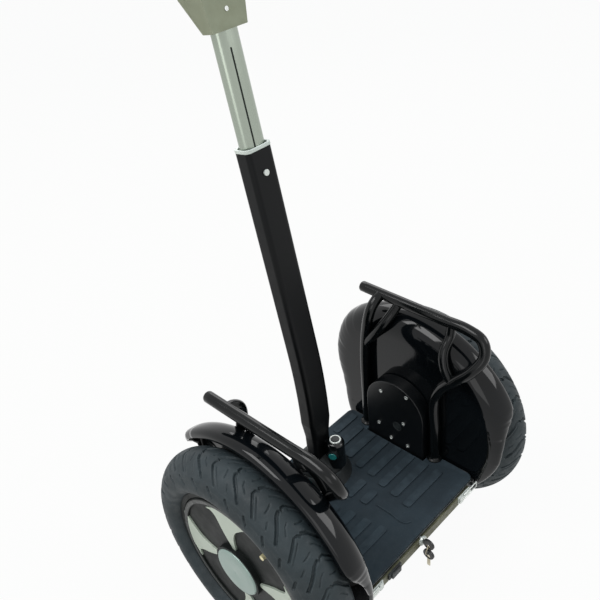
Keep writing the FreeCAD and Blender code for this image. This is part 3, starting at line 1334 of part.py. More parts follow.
# Nothing is written unless every object is sound
faults = []
for thing in doc.Objects:
    if "Invalid" in thing.State or "Error" in thing.State:
        faults.append("%s: %s" % (thing.Label, ", ".join(thing.State)))
for label, thing in NODES.items():
    if thing.Shape.isNull() or not thing.Shape.isValid() or not thing.Shape.Solids:
        faults.append("%s: no sound solid" % label)
if faults:
    raise RuntimeError("; ".join(faults))

whole = Part.Compound([thing.Shape for thing in NODES.values()])
bounds = whole.BoundBox
for label, thing in NODES.items():
    thing.Shape.exportStep("parts/%s.step" % label)
    print("%-20s %2d solids %10.1f mm3" % (label, len(thing.Shape.Solids), thing.Shape.Volume))
print("x %.2f %.2f  y %.2f %.2f  z %.2f %.2f" % (bounds.XMin, bounds.XMax, bounds.YMin, bounds.YMax,
                                               bounds.ZMin, bounds.ZMax))
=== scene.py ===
"""Self-balancing scooter: the look of each piece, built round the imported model."""
import json
import math

import bmesh
import bpy
import numpy as np
from mathutils import Matrix, Vector

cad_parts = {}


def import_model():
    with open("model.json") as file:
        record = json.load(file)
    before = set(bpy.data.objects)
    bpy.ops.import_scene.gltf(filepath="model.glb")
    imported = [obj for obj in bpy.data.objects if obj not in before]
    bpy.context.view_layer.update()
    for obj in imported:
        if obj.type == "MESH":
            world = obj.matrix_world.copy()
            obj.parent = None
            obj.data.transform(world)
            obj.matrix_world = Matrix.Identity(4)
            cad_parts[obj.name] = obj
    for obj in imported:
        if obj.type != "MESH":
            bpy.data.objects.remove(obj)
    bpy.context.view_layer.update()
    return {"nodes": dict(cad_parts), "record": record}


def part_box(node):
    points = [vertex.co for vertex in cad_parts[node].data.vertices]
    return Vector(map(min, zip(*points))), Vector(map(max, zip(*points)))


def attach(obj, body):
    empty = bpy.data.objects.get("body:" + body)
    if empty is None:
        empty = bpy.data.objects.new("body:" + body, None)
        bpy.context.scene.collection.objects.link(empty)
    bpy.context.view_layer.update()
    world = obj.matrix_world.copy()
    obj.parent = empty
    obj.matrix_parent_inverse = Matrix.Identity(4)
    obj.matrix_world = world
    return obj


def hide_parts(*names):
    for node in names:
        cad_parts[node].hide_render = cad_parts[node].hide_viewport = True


MM = 1000  # millimetres in a metre: the frame is in metres, the sizes below are in millimetres

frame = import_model()
NODES = frame["nodes"]
SIDES = {"left": -1, "right": 1}
low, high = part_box("tyre_left")
AXLE_Y = (low.y + high.y) / 2
AXLE_Z = (low.z + high.z) / 2

# Camera, fitted to the photograph's wheels, rails and pole: its place in metres, its angles in
# degrees and its focal length in widths of the picture
CAM = (-0.6944, -0.6780 + AXLE_Y, 1.2810)
YAW, PITCH, ROLL = (math.radians(a) for a in (-42.49, -34.69, -6.77))
FOCAL_SHARE = 752.13 / 600


def camera():
    """The photograph's viewpoint."""
    ahead = Vector((-math.sin(YAW) * math.cos(PITCH), math.cos(YAW) * math.cos(PITCH),
                    math.sin(PITCH)))
    right = Vector((math.cos(YAW), math.sin(YAW), 0))
    up = right.cross(ahead)
    across = right * math.cos(ROLL) + up * math.sin(ROLL)
    over = up * math.cos(ROLL) - right * math.sin(ROLL)
    data = bpy.data.cameras.new("camera")
    data.lens = data.sensor_width * FOCAL_SHARE
    cam = bpy.data.objects.new("camera", data)
    cam.matrix_world = Matrix((across, over, -ahead)).transposed().to_4x4()
    cam.location = CAM
    bpy.context.scene.collection.objects.link(cam)
    bpy.context.scene.camera = cam


# ---------------------------------------------------------------- materials

# Noise scales are in waves per metre
PATCH_DETAIL, GRAIN_DETAIL, FINE_DETAIL = 5.0, 2.0, 4.0
PATCH_SPREAD = (0.3, 0.7)
WEAR_SCALE, WEAR_SHARE, WEAR_SPREAD = 60, (0.1, 0.9), (0.35, 0.65)
DUST_SCALE, DUST_SHARE, DUST_SPREAD = 420, (0, 0.5), (0.62, 0.74)
GLOSS_PER_PATCH = 5
LEAST_ROUGH, COAT_ROUGH = 0.02, 0.04


def linear(text):
    """A colour as written in a paint chart, to the shader's scale."""
    parts = [int(text[i:i + 2], 16) / 255 for i in (0, 2, 4)]
    return tuple(p / 12.92 if p < 0.04045 else ((p + 0.055) / 1.055) ** 2.4 for p in parts) + (1,)


def wire(tree, kind, **values):
    """A new shader node with its settings and plain inputs."""
    node = tree.nodes.new(kind)
    for name, value in values.items():
        if hasattr(node, name):
            setattr(node, name, value)
        else:
            node.inputs[name.replace("_", " ")].default_value = value
    return node


def noise(tree, coord, scale, detail=3.0, stretch=None):
    """A noise in the piece's own space, stretched along an axis if asked."""
    source = coord.outputs["Object"]
    if stretch:
        mapping = wire(tree, "ShaderNodeMapping")
        mapping.inputs["Scale"].default_value = stretch
        tree.links.new(source, mapping.inputs["Vector"])
        source = mapping.outputs["Vector"]
    node = wire(tree, "ShaderNodeTexNoise", Scale=scale, Detail=detail)
    tree.links.new(source, node.inputs["Vector"])
    return node.outputs[0]


def ranged(tree, source, low, high, first=0.35, last=0.65):
    """A value stretched from one range to another."""
    node = wire(tree, "ShaderNodeMapRange")
    for name, value in (("From Min", first), ("From Max", last), ("To Min", low), ("To Max", high)):
        node.inputs[name].default_value = value
    tree.links.new(source, node.inputs["Value"])
    return node.outputs[0]


def mixed(tree, share, a, b):
    """Two colours mixed by a share, each plain or from a node."""
    node = wire(tree, "ShaderNodeMix", data_type="RGBA")
    tree.links.new(share, node.inputs[0])
    for socket, colour in ((node.inputs[6], a), (node.inputs[7], b)):
        if isinstance(colour, tuple):
            socket.default_value = colour
        else:
            tree.links.new(colour, socket)
    return node.outputs[2]


def finish(name, colour, other, rough, metal=0.0, coat=0.0, patch=9.0, grain=900.0, bump=0.15,
           depth=0.0004, wear=None, wear_at=(0.52, 0.6), stretch=None, spec=0.5, spread=0.08,
           through=0.0, dust=None):
    """A surface with patches of two near colours, uneven gloss, grain and paler worn edges."""
    mat = bpy.data.materials.new(name)
    mat.use_nodes = True
    tree = mat.node_tree
    shader = tree.nodes["Principled BSDF"]
    coord = wire(tree, "ShaderNodeTexCoord")
    patches = noise(tree, coord, patch, PATCH_DETAIL)
    base = mixed(tree, ranged(tree, patches, 0, 1, *PATCH_SPREAD), linear(colour), linear(other))
    fine = noise(tree, coord, grain, GRAIN_DETAIL, stretch)
    if wear:
        geometry = wire(tree, "ShaderNodeNewGeometry")
        edge = ranged(tree, geometry.outputs["Pointiness"], 0, 1, *wear_at)
        rubbed = wire(tree, "ShaderNodeMath", operation="MULTIPLY")
        tree.links.new(edge, rubbed.inputs[0])
        uneven = noise(tree, coord, WEAR_SCALE, FINE_DETAIL)
        tree.links.new(ranged(tree, uneven, *WEAR_SHARE, *WEAR_SPREAD), rubbed.inputs[1])
        base = mixed(tree, rubbed.outputs[0], base, linear(wear))
    if dust:
        specks = noise(tree, coord, DUST_SCALE, GRAIN_DETAIL)
        base = mixed(tree, ranged(tree, specks, *DUST_SHARE, *DUST_SPREAD), base, linear(dust))
    tree.links.new(base, shader.inputs["Base Color"])
    blotches = noise(tree, coord, patch * GLOSS_PER_PATCH, FINE_DETAIL)
    gloss = ranged(tree, blotches, max(rough - spread, LEAST_ROUGH), rough + spread)
    tree.links.new(gloss, shader.inputs["Roughness"])
    relief = wire(tree, "ShaderNodeBump", Strength=bump, Distance=depth)
    tree.links.new(fine, relief.inputs["Height"])
    tree.links.new(relief.outputs[0], shader.inputs["Normal"])
    shader.inputs["Metallic"].default_value = metal
    shader.inputs["Specular IOR Level"].default_value = spec
    shader.inputs["Coat Weight"].default_value = coat
    shader.inputs["Coat Roughness"].default_value = COAT_ROUGH
    shader.inputs["Transmission Weight"].default_value = through
    return mat


LONG_BRUSH = (1, 1, 0.02)
CROSS_BRUSH = (0.1, 1, 1)
TYRE = finish("tyre_rubber", "23292C", "2E363A", 0.62, patch=14, grain=1500, bump=0.25,
              wear="4A5356", dust="3D4447", spec=0.35)
RIM = finish("rim_black", "101312", "161918", 0.5, patch=9, bump=0.05, spread=0.05, spec=0.15)
RIM_STEP = finish("rim_step", "1E2321", "181C1A", 0.35, metal=0.3, patch=20, bump=0.04)
SILVER = finish("polished_plate", "BBC2B4", "B3BAAC", 0.34, metal=0.3, patch=6, grain=1400,
                bump=0.03, spread=0.04)
CAP = finish("hub_cap_satin", "95A69F", "8C9D96", 0.34, metal=0.4, patch=5, bump=0.03, spread=0.04)
VALVE = finish("valve_brass", "E9DDB4", "CDBE8E", 0.32, metal=0.5, patch=60)
GLOSS = finish("gloss_black", "07090B", "0A0D10", 0.07, patch=7, grain=500, bump=0.008,
               spread=0.02, spec=0.27)
RAIL = finish("rail_black", "07090A", "0B0D0E", 0.16, patch=9, grain=600, bump=0.02, spread=0.03,
              spec=0.27)
CASE = finish("case_black", "08090B", "0B0D0F", 0.36, patch=8, grain=900, bump=0.03, spread=0.04,
              spec=0.35)
MAT = finish("mat_rubber", "262D33", "303940", 0.7, patch=11, grain=1100, bump=0.35, depth=0.0006,
             wear="47525A", dust="3A444B", spec=0.18)
DECK = finish("deck_alloy", "1D2022", "24282A", 0.38, metal=0.7, patch=16, grain=1300, bump=0.1,
              wear="777B7C")
FRAME = finish("frame_black", "141617", "1B1E1F", 0.42, metal=0.2, patch=14, grain=800, bump=0.2,
               wear="4B4F50")
PANEL = finish("panel_olive", "45432F", "524F3A", 0.5, patch=17, grain=1200, bump=0.18,
               wear="7A775E")
STEEL = finish("bright_steel", "E2E3DF", "D4D6D2", 0.36, metal=0.35, patch=9, grain=1500,
               bump=0.03, spread=0.04, stretch=CROSS_BRUSH)
DULL_STEEL = finish("screw_steel", "C9CBC8", "B2B4B2", 0.3, metal=0.7, patch=90, bump=0.1,
                    wear="E4E5E2")
KEYS = finish("key_nickel", "B7AF97", "978F7A", 0.3, metal=0.9, patch=80, grain=1600, bump=0.12,
              wear="E3DCC8")
PORT = finish("port_black", "121314", "191B1C", 0.5, patch=60, grain=1500, bump=0.2, wear="3C3F40")
POLE = finish("pole_black", "07080A", "0A0B0C", 0.42, patch=9, grain=1000, bump=0.04, spread=0.04,
              spec=0.16)
BOW = finish("key_bow_black", "0D0E0F", "151718", 0.4, patch=60, grain=1500, bump=0.1, spread=0.04)
TUBE = finish("tube_silver", "A6AEA2", "9EA69A", 0.24, metal=0.8, patch=4, grain=1300, bump=0.02,
              spread=0.03, stretch=LONG_BRUSH)
# Painted shade: the groove inside the silver tube is coloured dark to stand for the shade in the
# recess
GROOVE_SHADE = finish("tube_groove", "151A19", "1D2322", 0.5, patch=20)
COLLAR = finish("collar_white", "DADDD8", "C9CCC6", 0.3, patch=40, bump=0.05, wear="F2F2EE")
HEAD = finish("head_olive", "8C8D76", "969782", 0.4, patch=9, grain=1200, bump=0.12,
              wear="BDBEAA", wear_at=(0.54, 0.64), spec=0.3)
RUBBER = finish("soft_rubber", "131516", "1B1E1F", 0.6, patch=20, grain=1300, bump=0.3,
                wear="383C3D", spec=0.35)
CONSOLE = finish("console_black", "090B0D", "0D1012", 0.14, patch=20, bump=0.02, spread=0.03)
LENS = finish("lens_teal", "2FA9A6", "1F8E90", 0.08, patch=60, bump=0.02, coat=1.0, through=0.35)
GLASS = finish("window_glass", "0B0E10", "101417", 0.06, patch=30, bump=0.01, coat=1.0)
COPPER = finish("windings", "8A5A34", "6E4425", 0.45, metal=0.6, patch=60, grain=800, bump=0.5)
IRON = finish("magnet_iron", "55575A", "44464A", 0.5, metal=0.7, patch=30, bump=0.2)
BOARD = finish("boards_green", "17402A", "1F4D33", 0.5, patch=60, bump=0.2)
WRAP = finish("battery_wrap", "27365A", "1F2B4A", 0.4, patch=20, bump=0.15, wear="4A5A7E")
RINGS = finish("console_rings", "E2E3DF", "D4D6D2", 0.3, metal=0.35, patch=9, bump=0.03,
               spread=0.04)

# The lamp's bezel is black and starts this far under the top of the button's bright ring
BEZEL_DROP, BEZEL_EDGE, BEZEL_BLACK = 7.5, 0.5, "14191B"


def darken_below(mat, level, colour):
    """Paint what lies below a height in metres."""
    tree = mat.node_tree
    socket = tree.nodes["Principled BSDF"].inputs["Base Color"]
    upper = socket.links[0].from_socket
    parts = wire(tree, "ShaderNodeSeparateXYZ")
    tree.links.new(wire(tree, "ShaderNodeTexCoord").outputs["Object"], parts.inputs[0])
    edge = BEZEL_EDGE / MM
    share = ranged(tree, parts.outputs[2], 0, 1, level - edge, level + edge)
    tree.links.new(mixed(tree, share, linear(colour), upper), socket)


darken_below(RINGS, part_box("console_rings")[1].z - BEZEL_DROP / MM, BEZEL_BLACK)

SKIN = {
    "axles": FRAME, "battery_pack": WRAP, "belly_tray": FRAME, "boot": RUBBER,
    "case_screws": DULL_STEEL, "charge_cap": PORT, "charge_port": PORT, "chassis_frame": FRAME,
    "console": CONSOLE, "console_rings": RINGS, "control_boards": BOARD, "deck_plate": DECK,
    "display_window": GLASS, "drawer_tray": FRAME, "fender": GLOSS, "foot_mat": MAT,
    "grips": RUBBER, "handlebar": POLE, "head_front": HEAD, "head_rear": HEAD,
    "head_screws": DULL_STEEL, "height_bolt": STEEL, "key": KEYS, "kickstand": POLE,
    "lamp_lens": LENS, "latch_bail": STEEL, "latch_lever": STEEL, "lean_pivot": STEEL,
    "lock_core": STEEL, "motor_cover": CASE, "panel_hardware": STEEL, "pole_collar": COLLAR,
    "pole_dome": RUBBER, "pole_hub": DULL_STEEL, "pole_inner": TUBE, "pole_lower": POLE,
    "power_button": PORT, "rail": RAIL, "rail_fittings": RAIL, "rear_panel": PANEL, "rim": RIM,
    "rotor_core": IRON, "side_case": CASE, "spare_key_ring": KEYS, "stand_feet": RUBBER,
    "stators": COPPER, "tyre": TYRE, "valve": VALVE, "wheel_trim": SILVER,
}
SLOTS = {s["node"]: s["material_slot"] for s in frame["record"]["subparts"]}
BODY = {n: body for body, members in frame["record"]["behaviour"]["bodies"].items()
        for n in members}


def skin_of(node):
    """The finish of a CAD node, the same on both sides."""
    return SKIN[node.replace("_left", "").replace("_right", "")]


# ---------------------------------------------------------------- mesh helpers

SMOOTH_ANGLE = math.radians(32)
WELD = 2e-6
FLAT_ANGLE = math.radians(0.5)
CORNER_REACH = 0.45


def piece(name, mesh, mat, body, slot, *nodes):
    """A finished piece that rides on a body and stands for the named CAD nodes."""
    thing = bpy.data.objects.new(name, mesh)
    bpy.context.scene.collection.objects.link(thing)
    mesh.materials.clear()
    mesh.materials.append(mat)
    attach(thing, body)
    if nodes:
        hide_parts(*nodes)
    return thing


def shaded(mesh, angle=SMOOTH_ANGLE):
    """Smooth shading with edges kept where the surface turns more than an angle."""
    mesh.shade_smooth()
    mesh.set_sharp_from_angle(angle=angle)
    return mesh


def plain_mesh(name, points, faces):
    """A mesh of these points and faces."""
    mesh = bpy.data.meshes.new(name)
    mesh.from_pydata([tuple(p) for p in points], [], [tuple(int(i) for i in f) for f in faces])
    return mesh


def closed_mesh(name, points, faces, angle=SMOOTH_ANGLE):
    """A closed mesh with its faces turned outward."""
    mesh = plain_mesh(name, points, faces)
    work = bmesh.new()
    work.from_mesh(mesh)
    bmesh.ops.recalc_face_normals(work, faces=work.faces)
    work.to_mesh(mesh)
    work.free()
    return shaded(mesh, angle)


def grid_faces(rows, columns, round_rows=True, round_columns=True):
    """The faces of a grid of points, closed on itself in the ways asked."""
    index = np.arange(rows * columns).reshape(rows, columns)
    after = np.roll(index, -1, 0)
    faces = np.stack([index, np.roll(index, -1, 1), np.roll(after, -1, 1), after], -1)
    if not round_rows:
        faces = faces[:-1]
    if not round_columns:
        faces = faces[:, :-1]
    return faces.reshape(-1, 4)


def tube_faces(rings, around):
    """The faces of a row of rings, with a flat end on each side."""
    last = (rings - 1) * around
    ends = [tuple(range(around)), tuple(range(last, last + around))]
    return [*grid_faces(rings, around, round_rows=False), *ends]


def bevelled(thing, width, segments=3, angle=30):
    """A piece with its edges rounded by a width in mm."""
    mod = thing.modifiers.new("edge", "BEVEL")
    mod.width = width / MM
    mod.segments = segments
    mod.limit_method = "ANGLE"
    mod.angle_limit = math.radians(angle)
    mod.use_clamp_overlap = True
    mod.harden_normals = True
    return thing


def soften(node, width, segments=2, angle=35):
    """The CAD piece with its sharp edges rounded, as moulding or machining leaves them."""
    mesh = NODES[node].data.copy()
    work = bmesh.new()
    work.from_mesh(mesh)
    bmesh.ops.remove_doubles(work, verts=work.verts, dist=WELD)
    bmesh.ops.dissolve_limit(work, angle_limit=FLAT_ANGLE, verts=work.verts, edges=work.edges)
    work.to_mesh(mesh)
    work.free()
    mesh.name = node + "_soft"
    thing = piece(node + "_soft", shaded(mesh), skin_of(node), BODY[node], SLOTS[node], node)
    return bevelled(thing, width, segments, angle)


def ring_mesh(name, profile, steps, side):
    """A closed outline of (x, radius) in mm, turned about the wheel axle."""
    count = len(profile)
    angles = np.arange(steps) * 2 * math.pi / steps
    x, r = np.array(profile).T / MM
    points = np.stack([np.broadcast_to(x * side, (steps, count)),
                       AXLE_Y - np.sin(angles)[:, None] * r,
                       AXLE_Z + np.cos(angles)[:, None] * r], -1)
    return closed_mesh(name, points.reshape(-1, 3), grid_faces(steps, count))


def upright_ring(name, profile, place, steps):
    """A closed outline of (radius, height) in mm, turned about an upright axis at a place."""
    points = []
    for k in range(steps):
        t = 2 * math.pi * k / steps
        for r, z in profile:
            points.append(((place[0] + r * math.cos(t)) / MM, (place[1] + r * math.sin(t)) / MM,
                           (place[2] + z) / MM))
    return closed_mesh(name, points, grid_faces(steps, len(profile)), math.radians(50))


def rounded(points, radius, steps=4):
    """An outline in mm with each corner cut by a small arc."""
    out = []
    total = len(points)
    for i, here in enumerate(points):
        here = Vector(here)
        into = Vector(points[i - 1]) - here
        away = Vector(points[(i + 1) % total]) - here
        reach = min(radius, into.length * CORNER_REACH, away.length * CORNER_REACH)
        first = here + into.normalized() * reach
        last = here + away.normalized() * reach
        for k in range(steps + 1):
            t = k / steps
            out.append(tuple(first * (1 - t) ** 2 + here * 2 * t * (1 - t) + last * t * t))
    return out


def smooth_loop(points, steps):
    """A closed curve through the points of an outline."""
    out = []
    total = len(points)
    for i in range(total):
        a, b, c, d = (Vector(points[(i + k) % total]) for k in (-1, 0, 1, 2))
        for k in range(steps):
            t = k / steps
            out.append(tuple(0.5 * (2 * b + (c - a) * t + (2 * a - 5 * b + 4 * c - d) * t * t
                                    + (3 * b - a - 3 * c + d) * t ** 3)))
    return out


def slab(name, outline, near, far, place):
    """A flat outline given thickness; place turns (u, v, level) into a point."""
    count = len(outline)
    points = [place(u, v, level) for level in (near, far) for u, v in outline]
    faces = [tuple(range(count)), tuple(range(2 * count - 1, count - 1, -1))]
    faces += [(i, (i + 1) % count, count + (i + 1) % count, count + i) for i in range(count)]
    return closed_mesh(name, points, faces)


def joined(name, meshes, angle=SMOOTH_ANGLE):
    """Several meshes as one."""
    work = bmesh.new()
    for mesh in meshes:
        work.from_mesh(mesh)
    mesh = bpy.data.meshes.new(name)
    work.to_mesh(mesh)
    work.free()
    return shaded(mesh, angle)


# ---------------------------------------------------------------- wheels

TYRE_X, TYRE_R, TYRE_HALF, BEAD_R, BEAD_HALF = 249, 215, 44, 152, 29
CROSS_STEPS = 97
# The flank from the tyre's widest place to the middle of its seat: mm from the middle, radius
FLANK = (
    (TYRE_HALF - 0.8, 166), (TYRE_HALF - 3.4, 161), (TYRE_HALF - 8, 156.5),
    (BEAD_HALF + 3, 153.6), (BEAD_HALF - 1, BEAD_R), (0, BEAD_R),
)
# The tread repeats by units, and the other half of the tyre is set off by half a unit
UNITS, UNIT_STEPS = 15, 72
UNIT_ANGLE = 360 / UNITS
FIRST_UNIT = 13.8
# Each groove: its width and depth in mm, and places along it (degrees, mm from the middle)
GROOVES = (
    (3.0, 3.3, ((0.8, 1), (-0.2, 5), (-0.2, 11), (2.0, 20), (6.2, 38))),
    (1.6, 1.4, ((2.2, 11), (4.4, 20), (8.4, 37))),
    (2.0, 2.0, ((8.0, 5), (8.6, 10), (9.2, 19))),
    (1.8, 1.6, ((12.2, 25.5), (14.0, 35))),
    (4.6, 4.2, ((12.2, 3), (13.2, 10), (17.0, 22), (21.0, 37))),
    (1.6, 1.6, ((17.5, 4), (18.6, 11), (21.5, 19))),
    (4.6, 3.2, ((3.0, 47), (6.0, 58))),
    (4.6, 3.2, ((15.0, 47), (18.0, 58))),
)
GROOVE_OVER, GROOVE_WALL = 0.7, 1.1
# A raised rib on the shoulder: from, to and height, and the run of its sides
RIB = (41, 51, 0.7)
RIB_WALL = 1.5


def groove_depth(angle, across):
    """How deep the tread is cut at a place in its repeating unit, all in mm."""
    depth = np.zeros(angle.shape)
    scale = math.radians(1) * TYRE_R
    for width, deep, path in GROOVES:
        for shift in (-UNIT_ANGLE, 0, UNIT_ANGLE):
            for (a0, s0), (a1, s1) in zip(path, path[1:]):
                p = np.stack([(angle - a0 - shift) * scale, across - s0], -1)
                d = np.array([(a1 - a0) * scale, s1 - s0])
                t = np.clip((p @ d) / (d @ d), 0, 1)
                gap = np.linalg.norm(p - t[..., None] * d, axis=-1)
                cut = np.clip((width / 2 + GROOVE_OVER - gap) / GROOVE_WALL, 0, 1)
                depth = np.maximum(depth, deep * cut * cut * (3 - 2 * cut))
    return depth


def tyre(name, side):
    """The tyre with its tread cut in relief."""
    spread = np.linspace(-90, 90, CROSS_STEPS)
    s = np.radians(spread) * TYRE_HALF
    nx, nr = np.sin(np.radians(spread)), np.cos(np.radians(spread))
    x = TYRE_X + TYRE_HALF * nx
    r = TYRE_R - TYRE_HALF + TYRE_HALF * nr
    inner = [(-a, b) for a, b in reversed(FLANK[:-1])]
    steps = UNITS * UNIT_STEPS
    angle = np.arange(steps) * 360 / steps
    unit = np.mod(angle[:, None] - FIRST_UNIT, UNIT_ANGLE)
    other = np.mod(angle[:, None] - FIRST_UNIT + UNIT_ANGLE / 2, UNIT_ANGLE)
    unit, other = (np.broadcast_to(v[:UNIT_STEPS], (UNIT_STEPS, len(s))) for v in (unit, other))
    side_unit = np.where(s[None, :] >= 0, unit, other)
    depth = groove_depth(side_unit, np.broadcast_to(np.abs(s), side_unit.shape))
    first, last, rise = RIB
    rib = np.clip(np.minimum(np.abs(s) - first, last - np.abs(s)) / RIB_WALL, 0, 1) * rise
    depth = np.tile(depth - rib, (UNITS, 1))
    px = np.broadcast_to(x, depth.shape) - depth * nx
    pr = r - depth * nr
    tail_x, tail_r = np.array([(TYRE_X + a, b) for a, b in [*FLANK, *inner]]).T
    px = np.concatenate([px, np.broadcast_to(tail_x, (steps, len(tail_x)))], 1)
    pr = np.concatenate([pr, np.broadcast_to(tail_r, (steps, len(tail_r)))], 1)
    a = np.radians(angle)[:, None]
    points = np.stack([px * side, AXLE_Y * MM - np.sin(a) * pr, AXLE_Z * MM + np.cos(a) * pr],
                      -1) / MM
    mesh = closed_mesh("tread_" + name, points.reshape(-1, 3), grid_faces(*px.shape),
                       math.radians(50))
    node = "tyre_" + name
    piece("tread_" + name, mesh, TYRE, BODY[node], SLOTS[node], node)


# One polished plate seen along the axle: mm across toward the rear and outward from the hub
PLATE = (
    (-59.5, 112), (-46, 121), (-24, 132.5), (-2, 137), (24, 136.5), (46.6, 133), (33, 124),
    (22, 114), (11, 102), (5, 90), (1.5, 77), (1, 65), (1, 52), (-2, 44), (-8, 54), (-20, 73),
    (-27, 87), (-32, 99), (-39, 110), (-48, 114),
)
PLATES, PLATE_STEPS, PLATE_EDGE = 4, 4, 1.4
# Levels along the axle: the plates' and the step ring's from their seat, which lies this far
# inward of the face's outermost level, and the hub cap's from that level
FACE_SEAT = 13
PLATE_LEVELS = (-0.4, 3.6)
HUB_CAP = ((-6, 0.5), (-0.8, 0.5), (-0.4, 30), (-1.2, 44), (-3.2, 46), (-6, 46))
STEP_RING = ((2.7, 131.4), (4.4, 132.6), (4.4, 139.4), (2.7, 140.6))
FACE_CORNER = 1.2
CAP_STEPS, RING_STEPS = 120, 240
RIM_EDGE = 1.0


def wheel_face(name, side):
    """The rim's polished plates, hub cap and step ring."""
    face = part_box("wheel_trim_" + name)
    body = BODY["rim_" + name]
    outer = max(abs(face[0].x), abs(face[1].x)) * MM
    level = outer - FACE_SEAT
    plates = []
    for quarter in range(PLATES):
        turn = math.radians(360 / PLATES * quarter)

        def place(u, v, depth, turn=turn):
            across = u * math.cos(turn) + v * math.sin(turn)
            up = v * math.cos(turn) - u * math.sin(turn)
            return ((depth * side) / MM, AXLE_Y - across / MM, AXLE_Z + up / MM)
        near, far = (level + step for step in PLATE_LEVELS)
        plates.append(slab("plate", smooth_loop(PLATE, PLATE_STEPS), near, far, place))
    trim = piece("wheel_plates_" + name, joined("wheel_plates_" + name, plates), SILVER, body,
                 "wheel_trim", "wheel_trim_" + name)
    bevelled(trim, PLATE_EDGE, 3, 40)
    cap = rounded([(outer + step, r) for step, r in HUB_CAP], FACE_CORNER)
    piece("hub_cap_" + name, ring_mesh("hub_cap_" + name, cap, CAP_STEPS, side), CAP, body,
          "wheel_trim")
    ring = rounded([(level + step, r) for step, r in STEP_RING], FACE_CORNER)
    piece("rim_ring_" + name, ring_mesh("rim_ring_" + name, ring, RING_STEPS, side), RIM_STEP,
          body, "wheel_trim")
    soften("rim_" + name, RIM_EDGE)


# ---------------------------------------------------------------- pole tube

POLE_LEAN = math.radians(8.8)
TUBE_HALF = (22.5, 14)
TUBE_POWER = 2.15
SECTION_STEPS = 200
# The groove in the tube's rear face: its place across, half width, depth, how far under the
# tube's top it ends and over what length, how its sides lean, and where the painted shade inside it
# starts
GROOVE_X, GROOVE_HALF, GROOVE_DEEP, GROOVE_END = -5.5, 1.5, 2.0, 84
GROOVE_RUNOUT, GROOVE_LEAN, GROOVE_CLEAR, SHADE_FROM = 1.5, 0.15, 0.3, 1.2


def tube_section(deep):
    """The tube's oval outline in mm, with a groove of this depth in its rear face."""
    half, back = TUBE_HALF
    edges = [GROOVE_X + side * GROOVE_HALF for side in (-1, 1)]
    out = []
    for k in range(SECTION_STEPS):
        t = 2 * math.pi * k / SECTION_STEPS
        c, d = math.cos(t), math.sin(t)
        x = half * math.copysign(abs(c) ** (2 / TUBE_POWER), c)
        y = back * math.copysign(abs(d) ** (2 / TUBE_POWER), d)
        if y > 0 or not edges[0] - GROOVE_CLEAR < x < edges[1] + GROOVE_CLEAR:
            out.append((x, y))
        elif out[-1][0] < edges[0]:
            rear = [-back * (1 - abs(edge / half) ** TUBE_POWER) ** (1 / TUBE_POWER)
                    for edge in edges]
            out += [(edges[0], rear[0]), (edges[0] + GROOVE_LEAN, rear[0] + deep),
                    (edges[1] - GROOVE_LEAN, rear[1] + deep), (edges[1], rear[1])]
    return out


def pole_tube():
    """The bright tube that sets the pole's height, with painted shade inside its groove."""
    axis = Vector((0, math.sin(POLE_LEAN), math.cos(POLE_LEAN)))
    spots = [v.co for v in NODES["pole_inner"].data.vertices]
    if max(spots, key=lambda v: v.z).y < min(spots, key=lambda v: v.z).y:
        axis.y = -axis.y
    across = Vector((0, axis.z, -axis.y))
    along = [v.dot(axis) for v in spots]
    aside = [v.dot(across) for v in spots]
    middle = (min(aside) + max(aside)) / 2
    groove_end = max(along) - GROOVE_END / MM
    rings = ((min(along), GROOVE_DEEP), (groove_end - GROOVE_RUNOUT / MM, GROOVE_DEEP),
             (groove_end, 0), (max(along), 0))
    points = []
    for place, deep in rings:
        section = tube_section(deep)
        points += [axis * place + across * (middle + y / MM) + Vector((x / MM, 0, 0))
                   for x, y in section]
    faces = tube_faces(len(rings), len(section))
    mesh = closed_mesh("pole_tube", points, faces, math.radians(50))
    piece("pole_tube", mesh, TUBE, BODY["pole_inner"], SLOTS["pole_inner"], "pole_inner")
    # The faces inside the groove take the dark material, which is painted shade in the recess
    mesh.materials.append(GROOVE_SHADE)
    for face in mesh.polygons:
        spot = face.center
        sunk = 0 < middle - spot.dot(across) < (TUBE_HALF[1] - SHADE_FROM) / MM
        if abs(spot.x * MM - GROOVE_X) < GROOVE_HALF and sunk and len(face.vertices) == 4:
            face.material_index = 1


# ---------------------------------------------------------------- fenders

CROWN_Y, CROWN_Z = 5, 219
FENDER_IN = 173
WALL_LOW = 134 - CROWN_Z
# Round the fender from the front foot over the top to the rear foot: degrees rearward of
# straight up, reach from the crown's centre, how far the shell turns outward, how much of its
# reach it turns over, and the share of the lip
SHELL = (
    (-120.7, 166, 7, 16, 0), (-104, 160, 9, 22, 0), (-94, 158.5, 11, 26, 0),
    (-82, 166, 13, 30, 0), (-72, 182, 15, 33, 0), (-62, 200, 20, 38, 0),
    (-55, 212, 27, 43, 0.2), (-51, 221, 38, 47, 0.5), (-47.5, 228, 50, 50, 0.9),
    (-43, 232, 55, 50, 1), (-36, 233, 57, 50, 1), (0, 233, 57, 50, 1), (61, 233, 57, 50, 1),
    (64.5, 232.5, 55, 50, 1), (67.5, 230, 49, 49, 0.7), (70.5, 226, 39, 46, 0.3),
    (76, 219, 27, 42, 0), (84, 214, 18, 36, 0), (93, 210, 14, 32, 0), (104, 200, 10, 24, 0),
    (116.6, 190, 7, 16, 0),
)
SHELL_STEPS = 200
SHELL_BLUR = (1, 4, 6, 4, 1)
# The straight foot between them, from and to in degrees with its steps, and its narrow edge:
# outward, turned over and lip
FOOT_ARCS = ((122, 180, 12), (-175, -126, 11))
FOOT_EDGE = (1.5, 4.0, 0.0)
FULLNESS = 0.83
RIDGE_SHARE = 0.82
WALL_RINGS = 6
TURN_ARC = (5, 90, 18)
